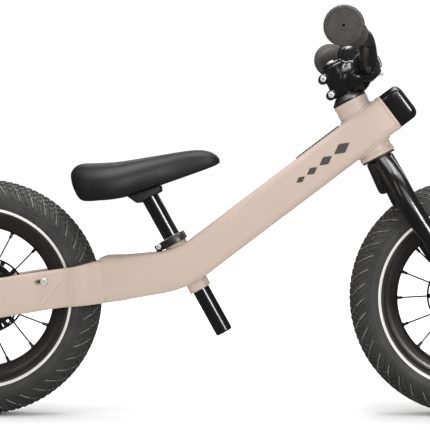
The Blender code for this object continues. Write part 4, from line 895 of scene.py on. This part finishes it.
def makeSeatTube():
    low = -seatShape["below"]
    high = seatShape["above"]
    outer, bore = seatShape["tube"] / 2, seatShape["postWide"] / 2 + 0.1
    profile = [(bore, low + 0.5), (bore + 0.5, low), (outer - 0.6, low), (outer, low + 0.6), (outer, high - 0.4),
               (outer - 0.4, high), (bore + 0.4, high), (bore, high - 0.4)]
    place("seatTube", spun(profile, 64, layAt(seatCentre, seatUp, seatForward)), beigePaint, "frame", "seat_tube",
          sharp=35)


def makeCollar():
    top = seatShape["above"] + 1.2
    turn = layAt(seatCentre + top * seatUp, seatUp, seatForward)
    outer, bore, post = 17.5, seatShape["tube"] / 2 + 0.3, seatShape["postWide"] / 2 + 0.3
    profile = [(bore, -10.5), (outer - 0.8, -10.5), (outer, -9.7), (outer, -1.2), (outer - 0.5, -0.4),
               (outer - 1.2, 0), (post + 0.4, 0), (post, -0.3), (post, -0.7), (bore, -0.7)]
    ring = spun(profile, 72, turn)
    # local x points forward, so the ears reach towards negative x
    ears = [boxAt((-25.5, side * 4.25 - 3.25, -10.2), (-13.8, side * 4.25 + 3.25, -0.5), turn, 1.3)
            for side in (1, -1)]
    place("seatCollar", merge([ring, *ears]), blackSatin, "frame", "seat_collar")
    # a bright silver ring laid on the collar's rounded top edge, painted as its highlight; the collar itself is satin
    # black
    edgeGlint = spun([(outer - 1.0, -0.12), (outer - 0.45, -0.42), (outer - 0.35, -0.3), (outer - 1.0, 0.05)], 72, turn)
    place("collarEdgeGlint", edgeGlint, boltSilver, "frame", slot="satin_black", sharp=30)
    seat = seatCentre + (top - 3.9) * seatUp - 20.4 * seatForward - lateral * 7.7
    socketScrew("collarBolt", seat, -lateral, "frame", "seat_collar_bolt", 3.3, 3.0, 2.5, 15.0, boltSilver)


stay = {"thick": 10.0, "corner": 4.4, "axleSpan": 90.0, "tyreGap": 3.5,
        "line": ((0, 20.7, 27.7), (0.24, 14.3, 24.8), (0.385, 12.0, 24.8), (0.64, 6.8, 24.8), (0.805, 2.1, 25.0),
                 (1, 0, 25.0)),
        "weldTop": (111.0, 36.0), "weldFoot": (78.5, -8.0), "plugAhead": 84.0, "plugHigh": 22.0, "slotLong": 14.0,
        "slotHigh": 6.4}


def stayInner(x):
    forward = x - rearAxle.x
    middle = wheel["outer"] - wheel["section"]
    deep = forward - middle
    section = wheel["section"]
    tyreHalf = math.sqrt(section ** 2 - deep ** 2) if abs(deep) < section else (0 if deep > 0 else section)
    near = max(0.0, min(1.0, (middle - forward) / (middle * 0.45)))
    clear = tyreHalf + stay["tyreGap"] * (1 + 0.6 * near)
    return max(clear, beam["wide"] / 2 - stay["thick"], near * stay["axleSpan"] / 2)


def smoothed(values, rounds):
    for _ in range(rounds):
        values = [values[0]] + [(a + 2 * b + c) / 4 for a, b, c in zip(values, values[1:], values[2:])] + [values[-1]]
    return values


def stayLine(share):
    rows = stay["line"]
    for (a, riseA, halfA), (b, riseB, halfB) in zip(rows, rows[1:]):
        if share <= b:
            part = (share - a) / (b - a)
            return riseA + (riseB - riseA) * part, halfA + (halfB - halfA) * part
    return 0.0, rows[-1][2]


def makeStay(side, word):
    start = yokeBack.x + 0.5
    run = start - rearAxle.x
    count = 44
    shares = [step / (count - 1) for step in range(count)]
    inner = smoothed([stayInner(start - run * s) for s in shares], 5)
    rise = smoothed([stayLine(s)[0] for s in shares], 6)
    half = smoothed([stayLine(s)[1] for s in shares], 6)
    thick = stay["thick"]
    places = []
    for s, i, r, h in zip(shares, inner, rise, half):
        lean = math.radians(beam["tiltRear"]) * max(0.0, 1 - s / 0.34)
        centre = Vector((start - run * s, side * (i + thick / 2), rearAxle.z + r))
        along = Vector((-math.cos(lean), 0, -math.sin(lean)))
        places.append(sectionAt(centre, along, thick, 2 * h))
    end = half[-1]
    for angle in (10, 20, 30, 40, 50, 60, 68, 75, 81, 86):
        turn = math.radians(angle)
        centre = Vector((rearAxle.x - end * math.sin(turn), side * (inner[-1] + thick / 2), rearAxle.z))
        places.append(sectionAt(centre, Vector((-1, 0, 0)), thick, 2 * end * math.cos(turn)))
    bm = extruded(roundedLoop(thick, 50, stay["corner"], 5), places)
    x = rearAxle.x + stay["plugAhead"]
    face = side * (inner[round((start - x) / run * (count - 1))] + thick)
    spot = Vector((x, face, rearAxle.z + stay["plugHigh"]))
    turn = layAt(spot - lateral * side * 2.2, lateral * side, Vector((-1, 0, 0)))
    slot = boxAt((-3.6, -stay["slotHigh"] / 2, 0), (stay["slotLong"] - 3.6, stay["slotHigh"] / 2, 12), turn, 2.4, 4)
    bm = carved(bm, slot)
    place(f"{word}Stay", bm, beigePaint, "frame", f"{word}_stay", sharp=35)
    # a black sheet at the slot's bottom, painted as the shade inside the slot
    floor = boxAt((-3.8, -stay["slotHigh"] / 2 - 0.3, -0.6),
                  (stay["slotLong"] - 3.4, stay["slotHigh"] / 2 + 0.3, 0.1), turn)
    place(f"{word}StaySlotShadeSheet", floor, basePlastic, "frame")
    socketScrew(f"{word}StayPlug", spot + lateral * side * 0.1, lateral * side, "frame", f"{word}_stay_plug", 4.5,
                1.8, 1.6, 3.5,
                boltSilver, dome=True, key=1.5)
    weld = []
    for step in range(25):
        share = step / 24
        at = stay["weldTop"][0] + (stay["weldFoot"][0] - stay["weldTop"][0]) * share
        high = stay["weldTop"][1] + (stay["weldFoot"][1] - stay["weldTop"][1]) * share
        spot = (start - (rearAxle.x + at)) / run * (count - 1)
        low = min(int(spot), count - 2)
        outer = inner[low] + (inner[low + 1] - inner[low]) * (spot - low) + thick
        weld.append(Vector((rearAxle.x + at, side * (outer - 4.3), rearAxle.z + high)))
    ripple = [4.5 + 0.08 * math.sin(step * 2.2) - (1.7 if step in (0, 24) else 0) for step in range(25)]
    place(f"{word}StayWeld", swept(weld, ripple, 16), beigePaint, "frame", sharp=60)


def makeYoke():
    # the weld between beam and stays is dressed flush on the sides and left a little proud on top
    bm = roundedLoop(1, 1, beam["corner"] / beam["wide"], 8)
    places = []
    for back, wide, deep, high in ((0.0, 52.04, 58.1, 0.02), (3.0, 52.04, 58.9, 0.4), (7.0, 52.04, 59.7, 0.8),
                                   (12.0, 52.04, 59.5, 0.7),
                                   (18.0, 52.04, 58.7, 0.3), (24.0, 52.02, 58.1, 0.0), (28.0, 51.8, 57.4, 0.0)):
        centre = yokeBack + back * beamRear + high * rearRise
        places.append(sectionAt(centre, beamRear, wide, deep))
    place("rearYoke", extruded(bm, places), beigePaint, "frame", "rear_yoke", sharp=60)


def makeCap():
    bm = roundedLoop(1, 1, beam["corner"] / beam["wide"], 8)
    wide, deep, long, corner = beam["wide"] - 0.4, beam["deepFront"] - 0.4, 29.0, 9.0
    places = [sectionAt(beamNose + 0.3 * beamFront, beamFront, wide - 1.6, deep - 1.6),
              sectionAt(beamNose + 1.4 * beamFront, beamFront, wide, deep)]
    for step in range(10):
        turn = math.radians(90 * step / 9)
        inset = 2 * corner * (1 - math.cos(turn))
        at = beamNose + (long - corner * (1 - math.sin(turn))) * beamFront
        places.append(sectionAt(at, beamFront, wide - inset, deep - inset))
    place("frontCap", extruded(bm, places), capGloss, "frame", "front_cap", sharp=50)
    seam = roundedLoop(1, 1, beam["corner"] / beam["wide"], 8)
    places = [sectionAt(beamNose + back * beamFront, beamFront, wide - 2.4, deep - 2.4) for back in (-1, 2)]
    place("capSeam", extruded(seam, places), sealRubber, "frame")


def makeTopStrip():
    turn = layAt(beamAtHead, frontRise, beamFront)
    low = beam["deepFront"] / 2 + 0.3
    strip = boxAt((-92.5, -13, low), (-23.5, 13, low + 1.4), turn, 0.6, 3)
    ribs = [boxAt((-92 + 5.2 * i, -10, low + 1.2), (-90.4 + 5.2 * i, 10, low + 1.75), turn, 0.3,
                  2) for i in range(1, 13)]
    place("beamTopStrip", merge([strip, *ribs]), sealRubber, "frame", "beam_top_strip")


mark = {"count": 4, "first": 12.5, "shrink": 0.82, "gap": 3.0, "behindHead": 39.0, "thick": 0.25, "leanWide": 0.55}


def makeMark():
    # a plain row of shrinking diamonds on each side of the beam
    shapes = []
    for side in (1, -1):
        at = -mark["behindHead"]
        size = mark["first"]
        for _ in range(mark["count"]):
            bm = bmesh.new()
            bmesh.ops.create_circle(bm, cap_ends=True, segments=4, radius=size)
            bmesh.ops.scale(bm, vec=(1, mark["leanWide"], 1), verts=bm.verts)
            bevelled(bm, bm.verts[:], size * 0.12, 3, "VERTICES")
            thickened(bm, (0, 0, mark["thick"] + 0.5))
            spot = beamAtHead + at * beamFront + lateral * side * (beam["wide"] / 2 - 0.5)
            shapes.append(moved(bm, layAt(spot, lateral * side, beamFront)))
            at -= size * (1 + mark["shrink"]) + mark["gap"]
            size *= mark["shrink"]
    place("beamMark", merge(shapes), markInk, "frame", recalc=True)


makeBeam()
makeHead()
makeSeatTube()
makeCollar()
makeStay(-1, "right")
makeStay(1, "left")
makeYoke()
makeCap()
makeTopStrip()
makeMark()
print("frame made")

# ---- axles and their bolts

for prefix, axle, body, outer in (("rear", rearAxle, "frame", 55.3), ("front", frontAxle, "steering", 51.3)):
    half = [(0, 44.7), (7.4, 44.7), (8, 44.1), (8, 32.1), (7.4, 31.5), (5, 31.5)]
    shaft = spun(half + mirrored(half), 40, layAt(axle, lateral, Vector((1, 0, 0))), closed=False)
    place(f"{prefix}Axle", shaft, turnedSteel, body, f"{prefix}_axle", sharp=30)
    for end, word in ends:
        seat = axle + lateral * end * outer
        socketScrew(f"{prefix}AxleBolt{word.capitalize()}", seat, lateral * end, body, f"{prefix}_axle_bolt_{word}",
                    8.5, 5.0, 3.0, 20.0,
                    boltBlack, dome=True, key=3.0)
print("axles made")

# ---- fork

fork = {"shaft": 14.3, "crown": 18.5, "foot": 20.5, "crownDeep": 47.0, "legWide": 28.0, "tipWide": 25.0, "seal": 3.0,
        "legs": ((-9, 10, 1.5), (-24, 22, 3.2), (-42, 34, 4.0), (-66, 42, 4.0), (-96, 46, 6.0), (-132, 47.5, 10.0))}
forkRake, headAboveAxle, forkSpan, dropoutThick = 19.5, 212.7, 90.0, 6.0


def makeFork():
    seal = fork["seal"]
    deep = fork["crownDeep"]
    foot, crown, shaft = fork["foot"], fork["crown"], fork["shaft"]
    turn = layAt(headLow, steerUp, lateral)
    base = spun([(0, -deep), (foot - 5, -deep), (foot - 1.5, 1.5 - deep), (foot, 6 - deep), (crown + 0.6, -14),
                 (crown, -seal - 0.6),
                 (crown - 0.6, -seal), (0, -seal)], 48, turn, closed=False)
    shapes = [base]
    for side in (-1, 1):
        points = [headLow + steerUp * h + lateral * side * y + steerForward * f for h, y, f in fork["legs"]]
        tipY = forkSpan / 2 + dropoutThick / 2
        drop = headAboveAxle - fork["legWide"] * 0.55
        points.append(headLow - steerUp * drop + lateral * side * tipY + steerForward * forkRake * 0.93)
        line = smoothLine(points, 5)
        wide, tip = fork["legWide"] / 2, fork["tipWide"] / 2
        radii = [wide + (tip - wide) * i / (len(line) - 1) for i in range(len(line))]
        shapes.append(swept(line, radii, 32))
        end = line[-1]
        down = (frontAxle - Vector((end.x, 0, end.z))).normalized()
        # the leg's mouth is pressed flat onto the dropout
        tail = [end, end + down * 5, end + down * 8]
        shapes.append(swept(tail, (tip, tip * 0.8, tip * 0.5), 32))
        eye = frontAxle + lateral * side * tipY
        plate = layAt(eye, lateral, down)
        shapes.append(crossRod(eye, 3, 15.0, 48, 0.8))
        shapes.append(boxAt((-34, -10.5, -3), (0, 10.5, 3), plate, 1.0))
    skin = fused(shapes, 1.15, 5)
    flat = headLow - steerUp * (seal - 0.05)
    bmesh.ops.bisect_plane(skin, geom=skin.verts[:] + skin.edges[:] + skin.faces[:], plane_co=flat, plane_no=steerUp,
                           clear_outer=True)
    bmesh.ops.holes_fill(skin, edges=[e for e in skin.edges if e.is_boundary], sides=0)
    place("forkLegsAndCrown", skin, blackGloss, "steering",
          "fork_leg_right", "fork_leg_left", "fork_dropout_right", "fork_dropout_left", sharp=60)
    top = headShape["long"] + 49
    steerer = spun([(0, -10), (shaft - 0.2, -10), (shaft - 0.2, top - 0.4), (shaft - 0.6, top), (shaft - 2.5, top),
                    (shaft - 2.5, -2), (0, -2)],
                   48, turn, closed=False)
    place("forkSteerer", steerer, blackGloss, "steering", "fork_steerer", sharp=35)
    ring = spun([(14.6, -2.7), (22.0, -2.7), (22.5, -2.2), (22.5, -0.8), (22.0, -0.3), (14.6, -0.3)], 72, turn)
    place("lowerSeal", ring, sealRubber, "steering", "lower_seal", sharp=35)


makeFork()
print("fork made")

# ---- stem and bar

stem = {"clamp": 17.0, "bottom": 10.5, "top": 51.0, "reach": 38.7, "barHigh": 29.4, "barClamp": 20.5, "wide": 42.0,
        "earBack": 18.7, "earWide": 26.0, "earRound": 6.2, "boltGap": 22.8, "boltMiddle": 28.85}
headTop = headLow + headShape["long"] * steerUp


def makeStem():
    turn = layAt(headTop, steerUp, steerForward)
    clamp, low, high = stem["clamp"], stem["bottom"], stem["top"]
    half, ring = stem["wide"] / 2, stem["barClamp"]
    body = spun([(0, low), (clamp - 1.5, low), (clamp, low + 1.5), (clamp, high - 1), (clamp - 1, high), (0, high)],
                48, turn, closed=False)
    barRing = crossRod(barCentre, half, ring - 1.2, 64, 1.2)
    bulge = bmesh.new()
    bmesh.ops.create_uvsphere(bulge, u_segments=48, v_segments=32, radius=1)
    swell = Matrix.Diagonal((25.5, 22.5, 22.5, 1))
    swell.translation = (stem["reach"] * 0.42, 0, stem["barHigh"] - 4.5)
    neck = boxAt((2, -13, stem["barHigh"] - 15), (stem["reach"], 13, stem["barHigh"] + 15), turn, 5.0)
    ears = [headTop - stem["earBack"] * steerForward + (stem["boltMiddle"] + share * stem["boltGap"]) * steerUp
            for share in (0.5, -0.5)]
    lugs = [crossRod(middle, stem["earWide"] / 2, stem["earRound"], 40, 0.8) for middle in ears]
    skin = fused([body, barRing, moved(bulge, turn @ swell), neck, *lugs], 0.7, 22)
    # the front of the bar clamp is a plate of its own, and the back is slit between the ears
    reach, barHigh = stem["reach"], stem["barHigh"]
    skin = carved(skin, crossRod(barCentre, 40, 11.4, 48), boxAt((reach + 1.5, -50, -30), (90, 50, 90), turn),
                  boxAt((-40, -1, 0), (-9, 1, 60), turn))
    place("stemBody", skin, blackGloss, "steering", "stem", sharp=50)
    plate = fused([crossRod(barCentre, half - 0.4, ring - 1.7, 64, 2.0)], 0.75, 3)
    # its back is cut off, and flats are cut where its two screws sit
    plate = carved(plate, crossRod(barCentre, 40, 11.4, 48), boxAt((-30, -50, -30), (reach + 2.7, 50, 90), turn),
                   boxAt((reach + 13.2, -50, barHigh + 9), (90, 50, 90), turn),
                   boxAt((reach + 13.2, -50, -30), (90, 50, barHigh - 9), turn))
    place("stemFaceplate", plate, blackGloss, "steering", "stem_faceplate", sharp=50)
    for rise, word, middle in ((1, "upper", ears[0]), (-1, "lower", ears[1])):
        socketScrew(f"stemBolt{word.capitalize()}", middle - lateral * 13.2, -lateral, "steering",
                    f"stem_bolt_{word}", 3.8, 3.0, 2.5, 26.0, boltSilver)
        seat = barCentre + steerUp * rise * 15.6 + steerForward * 12.4
        socketScrew(f"faceplateBolt{word.capitalize()}", seat, steerForward, "steering", f"faceplate_bolt_{word}",
                    3.4, 3.4, 2.0, 19.0, boltSilver)
    cap = spun([(3.3, 51.3), (13.4, 51.3), (14, 51.9), (14, 53.2), (13, 54.3), (3.3, 54.3)], 48, turn)
    place("topCap", cap, blackGloss, "steering", "top_cap", sharp=35)
    socketScrew("topCapBolt", headTop + steerUp * 54.6, steerUp, "steering", "top_cap_bolt", 5.0, 2.5, 3.0, 30.0,
                boltSilver, dome=True)
    cone = spun([(14.6, 0.3), (22.3, 0.3), (22.6, 0.7), (22.6, 2.6), (22.2, 3.2), (16.4, 9.4), (15.4, 10.1),
                 (14.6, 10.1)], 96, turn)
    place("headsetCover", cone, blackSatin, "steering", "headset_cover", sharp=30)


bar = {"wide": 430.0, "centreWide": 84.0, "gripLong": 90.0, "endThick": 8.0, "rise": 28.3, "kneeBack": 7.4,
       "gripBack": 20.4,
       "sweep": 12.0, "tube": 11.1}
gripShape = {"body": 14.5, "flange": 23.5, "collar": 15.5, "ribs": 15}


def barLine(side):
    gripStart = bar["wide"] / 2 - bar["gripLong"]
    end = bar["wide"] / 2 - bar["endThick"] * 0.6
    knee = bar["centreWide"] / 2
    top = (knee + gripStart) / 2
    middleBack = (bar["kneeBack"] + bar["gripBack"]) / 2
    rows = ((knee * 0.5, 0, 0), (knee * 0.85, 0, 0), (knee + 6, 0, 0.12), (knee + 24, bar["kneeBack"] * 0.35, 0.57),
            (top + 3, bar["kneeBack"], 0.92), (top + 24, middleBack, 1.0), (gripStart, bar["gripBack"], 1.0),
            (end, bar["gripBack"] + math.tan(math.radians(bar["sweep"])) * (end - gripStart), 1.0))
    return [barCentre + Vector((-back, side * out, bar["rise"] * rise)) for out, back, rise in rows]


def makeBar():
    line = smoothLine(list(reversed(barLine(-1))) + barLine(1), 6)
    place("handlebarTube", swept(line, [bar["tube"]] * len(line), 32), blackGloss, "bar", "handlebar", sharp=50)
    for side, word in ends:
        inner, end = barLine(side)[-2:]
        along = (end - inner).normalized()
        tip = end + along * bar["endThick"] * 0.6
        turn = layAt(tip, -along, Vector((0, 0, 1)))
        long = (tip - inner).length
        body, flange, thick = gripShape["body"], gripShape["flange"], bar["endThick"]
        face = [(1.6, 3.0), (1.6, 0.6), (2.2, 0.0), (4.6, 0.0), (4.9, 0.35), (5.5, 0.35), (5.8, 0.0),
                (flange - 5.2, 0.0), (flange - 4.9, 0.4), (flange - 4.3, 0.4), (flange - 4.0, 0.0),
                (flange - 2.4, 0.1), (flange - 0.9, 0.7), (flange - 0.1, 1.9), (flange, 3.0),
                (flange, thick - 3.0), (flange - 0.3, thick - 1.6), (flange - 1.3, thick - 0.5),
                (flange - 3.2, thick + 0.2), (body + 2.0, thick + 1.4)]
        ribs = []
        span = (long - thick - 14) / gripShape["ribs"]
        for number in range(gripShape["ribs"]):
            at = thick + 4 + span * number
            ribs += [(body - 0.9, at), (body - 0.9, at + span * 0.28), (body, at + span * 0.42),
                     (body, at + span * 0.88)]
        collar = [(body - 0.8, long - 9), (gripShape["collar"], long - 7.6), (gripShape["collar"], long - 1.0),
                  (gripShape["collar"] - 1, long)]
        inside = [(11.7, long), (11.7, thick * 0.6 - 0.3), (1.6, thick * 0.6 - 0.3)]
        grip = spun(face + ribs + collar + inside, 72, turn)
        # shallow notches all round the flange's edge
        notch = boxAt((-0.45, -1.2, 1.6), (0.45, 0.55, thick - 1.6), Matrix.Translation((0, flange, 0)), 0.2, 1)
        arrayRound(notch, 48)
        moved(notch, turn)
        place(f"{word}Grip", merge([grip, notch]), gripRubber, "bar", f"grip_{word}", sharp=40, recalc=True)


makeStem()
makeBar()
print("stem and bar made")

# ---- seat

saddle = {"wide": 124.0, "base": 4.0, "stations": (
    (-99.3, 33.5, 27.0, 0.34), (-96.5, 38.5, 18.0, 0.56), (-91.5, 42.8, 8.5, 0.74), (-84.5, 44.5, -2.8, 0.86),
    (-77, 44.8, -5.2, 0.94), (-62, 45.0, -4.6, 1.0), (-38, 46.3, -1.2, 0.97), (-12, 51, 7.5, 0.78),
    (14, 55.2, 16.2, 0.55), (40, 59.7, 25.2, 0.42),
    (62, 62.5, 33.0, 0.36), (77, 60.2, 38.6, 0.31), (86, 55, 42.2, 0.22), (89.5, 50, 45.0, 0.12))}


def wholeRing(origin, outline):
    # an outline of the right side from its top point, with its mirror
    def at(side, y, z):
        return origin + Vector((0, side * y, z))
    return [at(1, y, z) for y, z in outline] + [at(-1, y, z) for y, z in reversed(outline[1:])]


def makeSaddle():
    up = Vector((0, 0, 1))
    padRings, baseRings = [], []
    for x, top, low, share in saddle["stations"]:
        middle = postHead + Vector((x, 0, 0))
        half = share * saddle["wide"] / 2
        high = top - low
        under = min(saddle["base"] + 0.4, high * 0.3)
        # over the top, down the side, round the skirt's lower lip and in to the flat underside
        outline = [(0, 1.0), (0.42, 0.975), (0.76, 0.85), (0.95, 0.6), (1.0, 0.34), (0.985, 0.12), (0.945, 0.02),
                   (0.89, 0.0), (0.85, under / high), (0.5, under / high)]
        padRings.append(wholeRing(middle + up * low, [(half * y, high * z) for y, z in outline]))
        if under > saddle["base"]:
            edge = half * 0.83
            plate = ((0, 1.0), (edge * 0.6, 1.0), (edge * 0.96, 1.2), (edge, 1.8), (edge, under - 0.4),
                     (edge * 0.5, under - 0.2))
            baseRings.append(wholeRing(middle + up * low, plate))
    for rings, name, material, node, subdivide in ((padRings, "saddlePad", saddleSkin, "saddle_pad", 3),
                                                   (baseRings, "saddleBase", basePlastic, "saddle_base", 2)):
        bm = bmesh.new()
        loops = []
        for ring in rings:
            verts = [bm.verts.new(point) for point in ring]
            loops.append([bm.edges.new((verts[i - 1], verts[i])) for i in range(len(verts))])
        for near, far in zip(loops, loops[1:]):
            bmesh.ops.bridge_loops(bm, edges=near + far)
        for loop in (loops[0], loops[-1]):
            cap = bmesh.ops.contextual_create(bm, geom=loop)["faces"]
            bmesh.ops.inset_region(bm, faces=cap, thickness=1.2, depth=0.0)
        bmesh.ops.recalc_face_normals(bm, faces=bm.faces)
        piece = place(name, bm, material, "seat", node, sharp=0, subdivide=subdivide)


def makeSeatPost():
    turn = layAt(seatCentre, seatUp, seatForward)
    radius, low = seatShape["postWide"] / 2, -seatShape["postBelow"]
    high = seatShape["postAbove"] + seatShape["inBracket"]
    tube = spun([(radius - 1.8, low), (radius - 0.3, low), (radius, low + 0.3), (radius, high - 0.3),
                 (radius - 0.3, high), (radius - 1.8, high)], 64, turn)
    place("seatPost", tube, blackGloss, "seat", "seat_post", sharp=35)
    plug = spun([(0, low - 1.8), (radius - 1.4, low - 1.8), (radius - 0.4, low - 1.2), (radius, low - 0.6),
                 (radius, low - 0.3), (radius - 2.1, low - 0.3),
                 (radius - 2.1, low + 8.7), (0, low + 8.7)], 64, turn, closed=False)
    place("seatPostPlug", plug, basePlastic, "seat", "seat_post_plug", sharp=35)
    # bracket: a socket round the post's head that flares into a plate under the saddle
    outline = [postHead + 16.7 * seatForward, postHead - 14 * seatForward, postHead + 1.5 * seatUp - 17 * seatForward]
    bm = bmesh.new()
    stations = saddle["stations"]

    def underside(x):
        for (a, _, lowA, _), (b, _, lowB, _) in zip(stations, stations[1:]):
            if a <= x <= b:
                return Vector((postHead.x + x, 0, postHead.z + lowA + (lowB - lowA) * (x - a) / (b - a) - 0.3))

    outline += [underside(x) for x in (-28, -12, 13.9)]
    bm.faces.new([bm.verts.new(point - lateral * 20) for point in outline])
    thickened(bm, lateral * 40)
    soften(bm, 1.4, 3, 20)
    bore = rodAt(postHead - seatUp * 10, postHead + seatUp * 8.3, 11.4, 48)
    place("saddleBracket", carved(bm, bore), basePlastic, "seat", "saddle_bracket")


makeSaddle()
makeSeatPost()
print("seat made")
